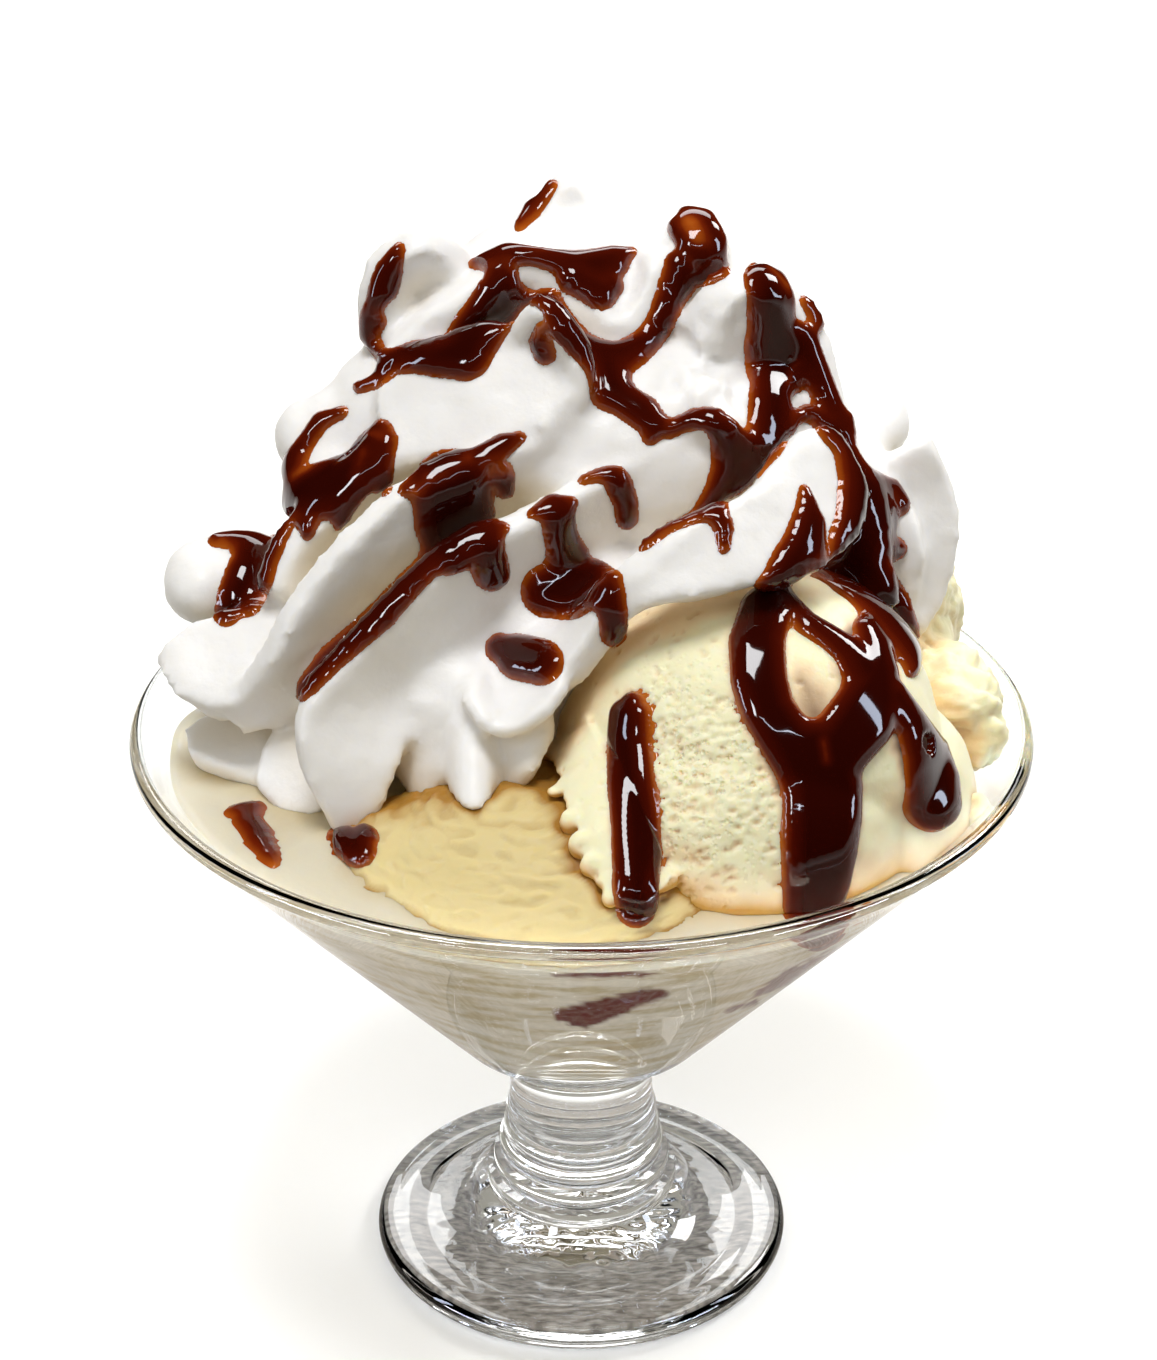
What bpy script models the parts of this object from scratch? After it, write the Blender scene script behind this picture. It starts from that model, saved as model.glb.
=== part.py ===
"""An ice cream sundae in a footed glass coupe: vanilla scoops pressed into the cone, a piled swirl of piped
cream with deep fins, and chocolate sauce run over both.

The origin is the centre of the foot's underside, +Z is up, and -Y is the side that faces the viewer.
Sizes are in millimetres, and MM turns them into metres where a mesh is made.
"""

import math

import bmesh
import bpy
import numpy as np
from mathutils import Matrix, Vector, noise
from mathutils.bvhtree import BVHTree

MM = 0.001
GAP = 0.35

# The glass, from its foot up.
FOOT_RADIUS = 29.5
FOOT_EDGE = 3.6
FOOT_HOLLOW_RADIUS = 23.5
FOOT_HOLLOW_DEPTH = 1.2
STEM_TOP = 25.0
NECK_RADIUS = 10.1
STEM_RINGS = 5
RING_PITCH = 2.6
RING_DEPTH = 0.45
CONE_FOOT = (18.5, 36.6)
RIM_RADIUS = 60.0
RIM_HEIGHT = 84.4
RIM_BEAD = 1.15
WALL = 2.0
WELL_HEIGHT = 36.4
GLASS_STEPS = 36

# The scoops, each as the lumps that make it: centre and radii.
SCOOPS = {
    "scoop_front_right": [
        ((21.5, -15.0, 85.5), (25.2, 25.0, 25.2)),
        ((19.0, -21.0, 82.0), (24.0, 23.5, 20.0)),
        ((36.0, -16.0, 80.0), (15.0, 17.0, 15.0)),
    ],
    "scoop_front_left": [((-4.0, -29.0, 72.0), (28.0, 25.5, 17.5)), ((-18.0, -29.0, 73.5), (17.0, 16.0, 12.5))],
    "scoop_back_right": [((31.0, 21.0, 88.0), (22.0, 21.0, 21.0)), ((47.0, 4.0, 82.0), (9.5, 13.0, 10.5))],
}
SCOOP_ROUGHNESS = 0.7

# What fills the cone under the scoops: its height at its middle, and its level along the wall, every 30
# degrees from the front round by the right.
FILL_MIDDLE = 83.0
FILL_AT_WALL = [78.8, 78.8, 78.0, 75.0, 68.0, 64.0, 65.0, 70.0, 77.0, 80.5, 81.0, 80.0]
FILL_TURNS = 30
FILL_RINGS = 7

# Triangles that each food solid is thinned to.
CREAM_TRIANGLES = 5300
SCOOP_TRIANGLES = 740
CREAM_VOXEL = 1.1

# Where the sundae is looked at from, and the picture frame in which its folds and its sauce are placed.
EYE = Vector((0.0, -355.8, 268.4))
EYE_TILT = math.radians(26.75)
PICTURE_CENTRE = (581.3, 680.0)
PICTURE_FOCUS = 2998.0

# Folds of the cream. Each is a sheet between an outer edge and an inner one, whose points are a place in the
# picture frame and the depth behind the glass's axis, in millimetres.
FOLDS = {
    "front_tongue": (
        [(335, 836, -27), (299, 758, -27), (303, 705, -25), (352, 646, -23), (415, 580, -20), (460, 544, -17),
         (530, 512, -13), (602, 472, -8), (690, 420, -2)],
        [(362, 838, -26), (388, 775, -24), (405, 725, -20), (430, 680, -15), (480, 640, -12), (530, 605, -8),
         (590, 570, -4), (650, 530, 2), (710, 480, 8)],
        7.0,
    ),
    "upper_fin": (
        [(222, 712, -15), (268, 650, -18), (299, 593, -17), (350, 531, -15), (406, 486, -12), (490, 450, -8),
         (560, 430, -4), (640, 414, 0)],
        [(240, 715, -12), (310, 680, -12), (360, 630, -10), (420, 580, -8), (470, 545, -4), (540, 520, 0),
         (600, 500, 4), (660, 470, 6)],
        7.0,
    ),
    "right_band": (
        [(503, 730, -24), (560, 690, -25), (603, 640, -25), (622, 580, -24), (668, 533, -21), (722, 506, -18),
         (755, 485, -15), (782, 450, -10), (806, 428, -6), (826, 440, -2)],
        [(475, 690, -18), (500, 655, -14), (560, 650, -17), (612, 628, -21), (650, 606, -23), (700, 600, -24),
         (752, 586, -22), (800, 572, -18), (832, 540, -12), (842, 500, -6)],
        7.5,
    ),
    "left_petal": (
        [(164, 662, -7), (172, 640, -6), (200, 622, -4), (250, 615, -4), (330, 590, -6)],
        [(172, 678, -9), (190, 704, -12), (222, 716, -14), (270, 704, -15), (330, 665, -14)],
        7.0,
    ),
    "lower_left_petal": (
        [(186, 732, -6), (215, 712, -4), (270, 695, -4), (340, 680, -4)],
        [(192, 760, -10), (228, 778, -13), (268, 790, -15), (330, 750, -12)],
        5.0,
    ),
    "bottom_left_petal": (
        [(256, 790, -18), (260, 765, -16), (280, 725, -12), (320, 690, -8)],
        [(285, 812, -20), (325, 815, -22), (345, 770, -19), (370, 710, -13)],
        5.0,
    ),
    "skirt_left": (
        [(390, 757, -19), (404, 782, -21), (430, 811, -25), (452, 786, -21)],
        [(410, 710, -19), (420, 702, -20), (434, 698, -21), (446, 700, -20)],
        4.0,
    ),
    "skirt_middle": (
        [(450, 770, -21), (458, 800, -30), (472, 812, -34), (488, 800, -31), (500, 775, -22)],
        [(458, 700, -18), (466, 694, -20), (474, 692, -21), (482, 694, -20), (490, 700, -18)],
        4.0,
    ),
    "skirt_right": (
        [(500, 785, -22), (512, 797, -27), (532, 778, -29), (548, 752, -27), (550, 735, -24)],
        [(494, 700, -21), (504, 698, -22), (516, 696, -23), (532, 696, -23), (545, 698, -23)],
        4.0,
    ),
    "curl": (
        [(468, 700, -24), (482, 724, -26), (508, 734, -27), (545, 712, -27), (566, 690, -26)],
        [(470, 660, -18), (490, 672, -18), (512, 678, -18), (535, 670, -18), (560, 655, -18)],
        5.0,
    ),
    "middle_face": (
        [(378, 394, 5), (430, 350, 6), (500, 330, 5), (560, 350, 2), (583, 385, -1), (570, 412, -3)],
        [(396, 476, 0), (440, 466, -2), (490, 452, -3), (530, 440, -3), (545, 432, -3), (556, 432, -3)],
        8.0,
    ),
    "hook": (
        [(506, 345, 2), (522, 318, 0), (541, 305, -1), (558, 320, -2), (576, 350, -3), (583, 385, -4),
         (570, 414, -5), (548, 436, -5)],
        [(520, 380, 9), (530, 362, 9), (541, 350, 8), (550, 360, 7), (558, 380, 6), (560, 400, 5),
         (552, 420, 3), (535, 436, 2)],
        5.0,
    ),
    "sauce_shelf": (
        [(388, 368, 6), (430, 330, 8), (480, 300, 9), (520, 268, 11), (552, 276, 11), (580, 305, 9),
         (606, 336, 7), (630, 336, 7), (652, 308, 9), (664, 272, 11), (662, 250, 14)],
        [(410, 350, 16), (440, 320, 18), (480, 290, 20), (520, 255, 22), (556, 258, 22), (590, 280, 20),
         (610, 300, 18), (628, 300, 18), (645, 280, 20), (652, 255, 22), (655, 240, 24)],
        8.0,
    ),
    "left_lobe": (
        [(374, 342, 12), (370, 300, 12), (386, 256, 13), (427, 236, 14), (460, 258, 15), (480, 290, 15)],
        [(400, 350, 18), (405, 320, 20), (415, 300, 22), (430, 290, 22), (445, 300, 22), (460, 320, 22)],
        9.0,
    ),
    "peak": (
        [(492, 242, 24), (530, 212, 26), (568, 174, 28), (600, 196, 28), (640, 216, 26), (670, 216, 24),
         (690, 240, 20)],
        [(500, 262, 24), (540, 262, 26), (580, 262, 28), (610, 262, 28), (640, 262, 27), (660, 268, 25),
         (680, 275, 22)],
        11.0,
    ),
    "right_petal": (
        [(930, 434, 14), (955, 490, 13), (958, 535, 11), (944, 595, 8), (918, 640, 5)],
        [(872, 462, 14), (862, 500, 12), (860, 540, 9), (868, 580, 6), (890, 622, 3)],
        6.0,
    ),
    "right_shoulder": (
        [(690, 335, 6), (715, 295, 7), (745, 276, 9), (785, 285, 12), (812, 330, 12), (830, 390, 9),
         (845, 450, 4), (860, 500, 0), (872, 560, -4), (880, 610, -6)],
        [(690, 380, 10), (715, 370, 12), (740, 370, 14), (765, 380, 16), (780, 410, 16), (790, 440, 14),
         (800, 480, 12), (815, 520, 10), (830, 560, 6), (850, 590, 2)],
        11.0,
    ),
    "middle_fin": (
        [(640, 440, -2), (670, 428, -3), (712, 412, -4), (740, 425, -3), (758, 455, 0)],
        [(650, 500, 2), (680, 495, 2), (712, 490, 2), (735, 490, 3), (752, 500, 5)],
        7.0,
    ),
    "left_rise": (
        [(268, 590, -8), (290, 540, -6), (330, 500, -5), (380, 455, -3), (420, 430, -2)],
        [(300, 620, -4), (330, 580, 0), (370, 540, 4), (410, 500, 6), (440, 470, 6)],
        9.0,
    ),
}

# Rounded lobes of the cream: picture place, depth, and radii across, deep and high, in millimetres.
LOBES = {
    "left_lobe_end": ((205, 580, 6), (5.6, 8.0, 5.4)),
    "left_lobe_root": ((236, 575, 8), (8.0, 9.0, 5.6)),
    "shoulder_lobe_end": ((312, 436, 12), (5.0, 7.0, 5.0)),
    "shoulder_lobe_root": ((350, 430, 12), (7.5, 8.0, 6.0)),
    "sauced_lobe": ((345, 486, 6), (8.0, 9.0, 6.5)),
    "top_ring_lobe": ((696, 246, 18), (4.4, 6.0, 4.6)),
    "right_lobe_end": ((876, 422, 26), (4.6, 7.0, 4.8)),
    "right_lobe_root": ((850, 432, 24), (6.5, 8.0, 5.6)),
    "small_fold": ((697, 395, 2), (4.5, 5.0, 3.6)),
}

# The body of the pile behind its folds: centre and radii.
CREAM_CORE = [
    ((-4.0, 4.0, 99.0), (37.0, 22.0, 15.0)),
    ((4.0, 14.0, 118.0), (29.0, 22.0, 17.0)),
    ((0.0, 24.0, 134.0), (19.0, 15.0, 12.0)),
    ((-20.0, 2.0, 96.0), (27.0, 24.0, 10.0)),
    ((26.0, 14.0, 106.0), (17.0, 20.0, 17.0)),
    ((-22.0, 14.0, 118.0), (13.0, 14.0, 14.0)),
    ((13.0, 22.0, 132.0), (12.0, 12.0, 12.0)),
    ((30.0, 24.0, 104.0), (15.0, 13.0, 14.0)),
    ((-17.0, -14.0, 94.0), (14.0, 9.0, 9.0)),
    ((-10.0, -14.0, 89.0), (9.0, 6.0, 6.0)),
    ((-8.0, 8.0, 86.0), (36.0, 26.0, 10.0)),
]
# The far side has the near side's folds again, lower and narrower, over a back that stands upright.
FAR_WIDTH = 0.9
FAR_HEIGHT = 0.88
FAR_LOW = 80.0
FAR_DEPTH = 36.0
FAR_PROUD = 5.0
NEAR_DEPTH = -27.0
NEAR_LEAN = 0.011

# The thick drizzle of sauce, as strokes over the picture frame: place and half width.
DRIZZLE_HEIGHT = 1.3
DRIZZLE_SHOULDER = 9.0
DRIZZLE = [
    [(502, 281, 14), (489, 315, 23), (465, 355, 24), (414, 357, 14), (384, 376, 6)],
    [(474, 264, 3), (533, 257, 7), (594, 270, 17), (632, 252, 3)],
    [(548, 299, 6), (567, 329, 12), (619, 359, 17), (650, 336, 12), (676, 285, 16)],
    [(607, 366, 19), (611, 389, 20), (654, 425, 13)],
    [(764, 279, 17), (776, 345, 32), (769, 416, 18), (746, 465, 16), (700, 507, 5)],
    [(800, 345, 16), (837, 437, 9), (852, 471, 14), (864, 520, 29), (862, 560, 26)],
    [(692, 421, 7), (724, 433, 12), (730, 455, 17)],
    [(844, 580, 13), (892, 627, 16), (911, 667, 3)],
    [(804, 490, 3), (807, 525, 16), (790, 560, 16), (764, 614, 24), (759, 678, 24), (786, 739, 25)],
    [(793, 606, 6), (829, 639, 11), (864, 675, 20), (866, 700, 28), (835, 765, 26)],
    [(814, 760, 37), (820, 846, 34), (807, 912, 20)],
    [(896, 703, 14), (925, 756, 21), (933, 806, 25)],
    [(630, 717, 18), (632, 781, 22), (636, 912, 18)],
    [(377, 434, 9), (361, 474, 20), (312, 495, 24)],
    [(408, 490, 5), (477, 459, 8), (521, 437, 4)],
    [(455, 494, 36), (450, 544, 22), (383, 615, 13), (302, 695, 4)],
    [(486, 536, 15), (491, 572, 16)],
    [(557, 512, 14), (562, 539, 15), (566, 588, 29), (611, 590, 11), (613, 633, 10)],
    [(500, 650, 13), (520, 656, 20), (541, 664, 20)],
    [(249, 553, 15), (247, 575, 19), (225, 615, 11)],
]
# The drizzle on the far side, as that side looks when it is turned to the front.
BACK_DRIZZLE = [
    [(498, 435, 14), (478, 450, 24), (464, 475, 18), (430, 515, 16), (400, 560, 20)],
    [(700, 440, 18), (722, 470, 18), (735, 495, 16), (760, 535, 20), (780, 590, 14)],
    [(520, 440, 14), (600, 450, 18), (680, 442, 14)],
    [(580, 465, 12), (600, 515, 18), (590, 575, 22)],
]

ICE_CREAM_COLOUR = (0.9, 0.78, 0.46)
CREAM_COLOUR = (0.93, 0.91, 0.87)


def seen(px, py, depth):
    """The point that the picture frame shows at (px, py), depth millimetres behind the glass's axis."""
    across = (px - PICTURE_CENTRE[0]) / PICTURE_FOCUS
    down = (py - PICTURE_CENTRE[1]) / PICTURE_FOCUS
    ahead = Vector((0.0, math.cos(EYE_TILT), -math.sin(EYE_TILT)))
    up = Vector((0.0, math.sin(EYE_TILT), math.cos(EYE_TILT)))
    ray = ahead + Vector((1.0, 0.0, 0.0)) * across - up * down
    return EYE + ray * ((depth - EYE.y) / ray.y)


def smooth_path(points, count):
    """Points spread evenly in number along one smooth curve through the given ones."""
    padded = [points[0] * 2 - points[1], *points, points[-1] * 2 - points[-2]]
    path = []
    for i in range(count):
        place = i / (count - 1) * (len(points) - 1)
        k = min(int(place), len(points) - 2)
        t = place - k
        a, b, c, d = padded[k : k + 4]
        path.append(
            (b * 2 + (c - a) * t + (a * 2 - b * 5 + c * 4 - d) * t * t + (b * 3 - a - c * 3 + d) * t**3) / 2
        )
    return path


def new_object(name, mesh_data):
    """Puts a bmesh or a mesh, in millimetres, into the scene in metres."""
    mesh = mesh_data
    if isinstance(mesh_data, bmesh.types.BMesh):
        mesh = bpy.data.meshes.new(name)
        mesh_data.to_mesh(mesh)
        mesh_data.free()
        mesh.transform(Matrix.Scale(MM, 4))
    obj = bpy.data.objects.new(name, mesh)
    bpy.context.scene.collection.objects.link(obj)
    return obj


def evaluated(obj):
    """Applies the object's modifiers to its mesh."""
    graph = bpy.context.evaluated_depsgraph_get()
    mesh = bpy.data.meshes.new_from_object(obj.evaluated_get(graph))
    obj.modifiers.clear()
    old = obj.data
    obj.data = mesh
    bpy.data.meshes.remove(old)
    return obj


def joined(name, objects):
    """One object that holds the others' meshes, which are removed."""
    whole = bmesh.new()
    for obj in objects:
        whole.from_mesh(obj.data)
        mesh = obj.data
        bpy.data.objects.remove(obj)
        bpy.data.meshes.remove(mesh)
    mesh = bpy.data.meshes.new(name)
    whole.to_mesh(mesh)
    whole.free()
    return new_object(name, mesh)


def paint(obj, name, colour, roughness, transmission=0.0):
    """Gives the object its own plain material."""
    material = bpy.data.materials.new(name)
    material.use_nodes = True
    shader = material.node_tree.nodes["Principled BSDF"]
    shader.inputs["Base Color"].default_value = (*colour, 1.0)
    shader.inputs["Roughness"].default_value = roughness
    shader.inputs["Metallic"].default_value = 0.0
    shader.inputs["Transmission Weight"].default_value = transmission
    obj.data.materials.clear()
    obj.data.materials.append(material)
    obj.data.shade_smooth()
    obj.data.set_sharp_from_angle(angle=math.radians(40))


def outer_wall(height):
    """The outer radius of the glass's cone at a height."""
    low_radius, low = CONE_FOOT
    high_radius, high = RIM_RADIUS - RIM_BEAD, RIM_HEIGHT - 2 * RIM_BEAD
    return low_radius + (height - low) * (high_radius - low_radius) / (high - low)


def inner_wall(height):
    """The inner radius of the glass's cone at a height."""
    low_radius, low = CONE_FOOT
    slope = math.atan2(RIM_HEIGHT - 2 * RIM_BEAD - low, RIM_RADIUS - RIM_BEAD - low_radius)
    return outer_wall(height) - WALL / math.sin(slope)


def arc(centre, radius, start, end, count):
    """Points on an arc in the profile's plane, from one angle in degrees to another."""
    turns = [math.radians(start + (end - start) * i / (count - 1)) for i in range(count)]
    return [(centre[0] + radius * math.cos(a), centre[1] + radius * math.sin(a)) for a in turns]


def glass_profile():
    """The glass's half section: up the inside from its well, over the rim, and down the outside to the foot."""
    well_radius = inner_wall(WELL_HEIGHT + 3.0)
    inside = [(0.0, WELL_HEIGHT), (well_radius * 0.6, WELL_HEIGHT + 0.5), (well_radius, WELL_HEIGHT + 3.0)]
    inside += [(inner_wall(h), h) for h in (52.0, 67.0, RIM_HEIGHT - 3.2)]
    rim = arc((RIM_RADIUS - RIM_BEAD, RIM_HEIGHT - RIM_BEAD), RIM_BEAD, 150, -60, 7)
    outside = [(outer_wall(h), h) for h in (RIM_HEIGHT - 4.0, 60.0)]
    outside += [CONE_FOOT, (14.0, 33.2), (11.6, 30.6), (NECK_RADIUS + 0.2, 28.0), (NECK_RADIUS, STEM_TOP)]
    rings = []
    for i in range(STEM_RINGS):
        height = STEM_TOP - 3.6 - i * RING_PITCH
        radius = NECK_RADIUS + 0.3 + 0.14 * (i + 1) ** 1.9
        rings += [(radius + RING_DEPTH, height), (radius, height - RING_PITCH / 2)]
    foot = [(15.8, 6.6), (21.0, 4.6), (FOOT_RADIUS - 2.2, FOOT_EDGE)]
    edge = arc((FOOT_RADIUS - 1.8, 1.8), 1.8, 65, -90, 6)
    hollow = [(FOOT_HOLLOW_RADIUS, 0.0), (FOOT_HOLLOW_RADIUS - 2.0, FOOT_HOLLOW_DEPTH), (0.0, FOOT_HOLLOW_DEPTH)]
    return inside + rim + outside + rings + foot + edge + hollow


def make_glass():
    """The coupe, turned from its half section."""
    mesh = bpy.data.meshes.new("glass")
    profile = glass_profile()
    verts = [(r * MM, 0.0, h * MM) for r, h in profile]
    mesh.from_pydata(verts, [(i, i + 1) for i in range(len(verts) - 1)], [])
    glass = new_object("glass", mesh)
    turn = glass.modifiers.new("Turn", "SCREW")
    turn.steps = GLASS_STEPS
    turn.render_steps = GLASS_STEPS
    turn.use_merge_vertices = True
    turn.merge_threshold = 0.00001
    evaluated(glass)
    paint(glass, "glass", (0.86, 0.9, 0.91), 0.02, 1.0)
    return glass


def ball(name, centre, radii, level=4):
    """A rounded body of the given radii, as a mesh object."""
    shape = bmesh.new()
    place = Matrix.Translation(centre) @ Matrix.Diagonal((*radii, 1.0))
    bmesh.ops.create_icosphere(shape, subdivisions=level, radius=1.0, matrix=place)
    return new_object(name, shape)


def fold(name, outer, inner, thickness, far=False, long_cuts=28, cross_cuts=6):
    """A sheet of cream between two edges, thick at the inner one and thin at the outer one."""
    place = (lambda p: far_side(seen(*p))) if far else (lambda p: seen(*p))
    outer_path = smooth_path([place(p) for p in outer], long_cuts)
    inner_path = smooth_path([place(p) for p in inner], long_cuts)
    shape = bmesh.new()
    thin = []
    rows = []
    for a, b in zip(outer_path, inner_path):
        row = []
        for j in range(cross_cuts):
            share = j / (cross_cuts - 1)
            row.append(shape.verts.new(a.lerp(b, share)))
            thin.append(0.5 + 0.5 * share)
        rows.append(row)
    for one, two in zip(rows, rows[1:]):
        for j in range(cross_cuts - 1):
            shape.faces.new((one[j], one[j + 1], two[j + 1], two[j]))
    obj = new_object(name, shape)
    group = obj.vertex_groups.new(name="thickness")
    for i, weight in enumerate(thin):
        group.add([i], weight, "REPLACE")
    solid = obj.modifiers.new("Thickness", "SOLIDIFY")
    solid.thickness = thickness * MM
    solid.offset = 0.0
    solid.vertex_group = group.name
    return evaluated(obj)


def far_side(point):
    """Where a point of a near fold goes on the far side."""
    rise = point.z - FAR_LOW
    relief = max(point.y - (NEAR_DEPTH + NEAR_LEAN * rise**2), -FAR_PROUD)
    return Vector((point.x * FAR_WIDTH, FAR_DEPTH - relief, FAR_LOW + rise * FAR_HEIGHT))


def fused(obj, voxel, rounds):
    """Melts an object's shapes into one skin and softens it."""
    melt = obj.modifiers.new("Melt", "REMESH")
    melt.mode = "VOXEL"
    melt.voxel_size = voxel * MM
    soften = obj.modifiers.new("Soften", "SMOOTH")
    soften.factor = 0.5
    soften.iterations = rounds
    return evaluated(obj)


def thinned(obj, triangles):
    """Brings an object down to about that many triangles."""
    count = sum(len(p.vertices) - 2 for p in obj.data.polygons)
    if count <= triangles:
        return obj
    thin = obj.modifiers.new("Thin", "DECIMATE")
    thin.ratio = triangles / count
    thin.use_collapse_triangulate = True
    return evaluated(obj)


def cut(obj, cutter):
    """Takes the cutter's shape out of the object, and removes the cutter."""
    knife = obj.modifiers.new("Cut", "BOOLEAN")
    knife.operation = "DIFFERENCE"
    knife.solver = "MANIFOLD"
    knife.object = cutter
    evaluated(obj)
    bpy.data.objects.remove(cutter)
    return obj


def largest_body(obj):
    """Keeps the object's largest closed body and drops loose scraps."""
    shape = bmesh.new()
    shape.from_mesh(obj.data)
    left = set(shape.verts)
    bodies = []
    while left:
        stack = [left.pop()]
        body = set(stack)
        while stack:
            for edge in stack.pop().link_edges:
                for vert in edge.verts:
                    if vert not in body:
                        body.add(vert)
                        left.discard(vert)
                        stack.append(vert)
        bodies.append(body)
    keep = max(bodies, key=len)
    bmesh.ops.delete(shape, geom=[v for v in shape.verts if v not in keep], context="VERTS")
    shape.to_mesh(obj.data)
    shape.free()
    return obj


def picture_place(points):
    """Where the picture frame shows points, given as rows in metres, and the way to the eye from each."""
    shift = points / MM - np.array(EYE)
    ahead = shift @ np.array([0.0, math.cos(EYE_TILT), -math.sin(EYE_TILT)])
    up = shift @ np.array([0.0, math.sin(EYE_TILT), math.cos(EYE_TILT)])
    across = PICTURE_CENTRE[0] + PICTURE_FOCUS * shift[:, 0] / ahead
    down = PICTURE_CENTRE[1] - PICTURE_FOCUS * up / ahead
    return across, down, -shift / np.linalg.norm(shift, axis=1)[:, None]


def run_over(points, normals, tree, strokes):
    """How deep in sauce each point is, from 0 at a stroke's edge or out of sight to 1 in its middle."""
    across, down, to_eye = picture_place(points)
    inside = np.full(len(points), -9.0)
    for stroke in strokes:
        for (xa, ya, wa), (xb, yb, wb) in zip(stroke, stroke[1:]):
            length = max((xb - xa) ** 2 + (yb - ya) ** 2, 1.0)
            share = np.clip(((across - xa) * (xb - xa) + (down - ya) * (yb - ya)) / length, 0.0, 1.0)
            away = np.hypot(across - xa - share * (xb - xa), down - ya - share * (yb - ya))
            inside = np.maximum(inside, wa + share * (wb - wa) - away)
    facing = (normals * to_eye).sum(axis=1)
    depth = np.clip(inside / DRIZZLE_SHOULDER, 0.0, 1.0) * np.clip(facing * 4.0, 0.0, 1.0)
    for i in np.nonzero(depth > 0.0)[0]:
        start = Vector(points[i]) + Vector(normals[i]) * 0.6 * MM
        if tree.ray_cast(start, Vector(to_eye[i]))[0] is not None:
            depth[i] = 0.0
    return depth


def drizzled(objects):
    """Raises the sauce's relief on each object where a stroke of it falls, as seen past all of them."""
    whole = bmesh.new()
    for obj in objects:
        whole.from_mesh(obj.data)
    tree = BVHTree.FromBMesh(whole)
    whole.free()
    for obj in objects:
        count = len(obj.data.vertices)
        points = np.empty(count * 3)
        normals = np.empty(count * 3)
        obj.data.vertices.foreach_get("co", points)
        obj.data.vertex_normals.foreach_get("vector", normals)
        points = points.reshape(-1, 3)
        normals = normals.reshape(-1, 3)
        depth = run_over(points, normals, tree, DRIZZLE)
        turned = points * np.array([-1.0, -1.0, 1.0])
        depth = np.maximum(depth, back_run(turned, normals * np.array([-1.0, -1.0, 1.0]), objects))
        points += normals * (depth * DRIZZLE_HEIGHT * MM)[:, None]
        obj.data.vertices.foreach_set("co", points.ravel())
        obj.data.update()


def back_run(points, normals, objects):
    """The sauce's depth on the far side, found as on the near side with the pile turned about."""
    whole = bmesh.new()
    for obj in objects:
        whole.from_mesh(obj.data)
    whole.transform(Matrix.Rotation(math.pi, 4, "Z"))
    tree = BVHTree.FromBMesh(whole)
    whole.free()
    return run_over(points, normals, tree, BACK_DRIZZLE)


def pressed(obj, gap=GAP + 0.1):
    """Holds the object inside the glass's cone, that gap clear of it."""
    for vert in obj.data.vertices:
        height = max(vert.co.z / MM, WELL_HEIGHT + 4.0)
        vert.co.z = height * MM
        reach = math.hypot(vert.co.x, vert.co.y) / MM
        most = min(inner_wall(height) - gap, RIM_RADIUS - 1.0) if height < RIM_HEIGHT + 1.5 else RIM_RADIUS - 0.5
        if reach > most:
            vert.co.x *= most / reach
            vert.co.y *= most / reach
    return obj


def inflated(obj, gap=GAP):
    """A copy of the object grown by the gap, to cut its neighbours with."""
    copy = new_object(obj.name + "_cutter", obj.data.copy())
    copy.hide_render = True
    copy.display_type = "WIRE"
    normals = [n.vector.copy() for n in copy.data.vertex_normals]
    for vert, normal in zip(copy.data.vertices, normals):
        vert.co += normal * gap * MM
    return copy


def make_scoop(name):
    """A scoop: its lumps melted together and a little uneven all over."""
    lumps = [ball(name, Vector(centre), radii) for centre, radii in SCOOPS[name]]
    scoop = joined(name, lumps)
    fused(scoop, 1.3, 3)
    for vert in scoop.data.vertices:
        away = noise.noise(vert.co / (9 * MM)) + 0.5 * noise.noise(vert.co / (4 * MM))
        vert.co += vert.co.normalized() * away * SCOOP_ROUGHNESS * MM
    return scoop


def fill_level(turn):
    """The fill's height along the wall at a turn from the front, in radians."""
    place = turn / math.tau * len(FILL_AT_WALL)
    k = int(place) % len(FILL_AT_WALL)
    share = (1.0 - math.cos((place - int(place)) * math.pi)) / 2
    return FILL_AT_WALL[k] * (1 - share) + FILL_AT_WALL[(k + 1) % len(FILL_AT_WALL)] * share


def make_base():
    """The ice cream that fills the cone, from the well up to its uneven top."""
    shape = bmesh.new()
    top = shape.verts.new((0.0, 0.0, FILL_MIDDLE))
    low = shape.verts.new((0.0, 0.0, WELL_HEIGHT + 1.2))
    rows = []
    for i in range(FILL_TURNS):
        turn = math.tau * i / FILL_TURNS
        level = fill_level(turn)
        edge = inner_wall(level) - GAP - 0.1
        way = Vector((math.sin(turn), -math.cos(turn), 0.0))
        row = []
        for j in range(1, FILL_RINGS + 1):
            share = j / FILL_RINGS
            height = level + (FILL_MIDDLE - level) * (1 - share**2)
            row.append(shape.verts.new(way * edge * share + Vector((0, 0, height))))
        for height in (level - 12.0, 52.0, WELL_HEIGHT + 4.0):
            row.append(shape.verts.new(way * (inner_wall(height) - GAP - 0.1) + Vector((0, 0, height))))
        rows.append(row)
    for one, two in zip(rows, rows[1:] + rows[:1]):
        shape.faces.new((top, one[0], two[0]))
        for j in range(len(one) - 1):
            shape.faces.new((one[j], one[j + 1], two[j + 1], two[j]))
        shape.faces.new((low, two[-1], one[-1]))
    bmesh.ops.recalc_face_normals(shape, faces=shape.faces)
    return new_object("ice_cream_base", shape)


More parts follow.
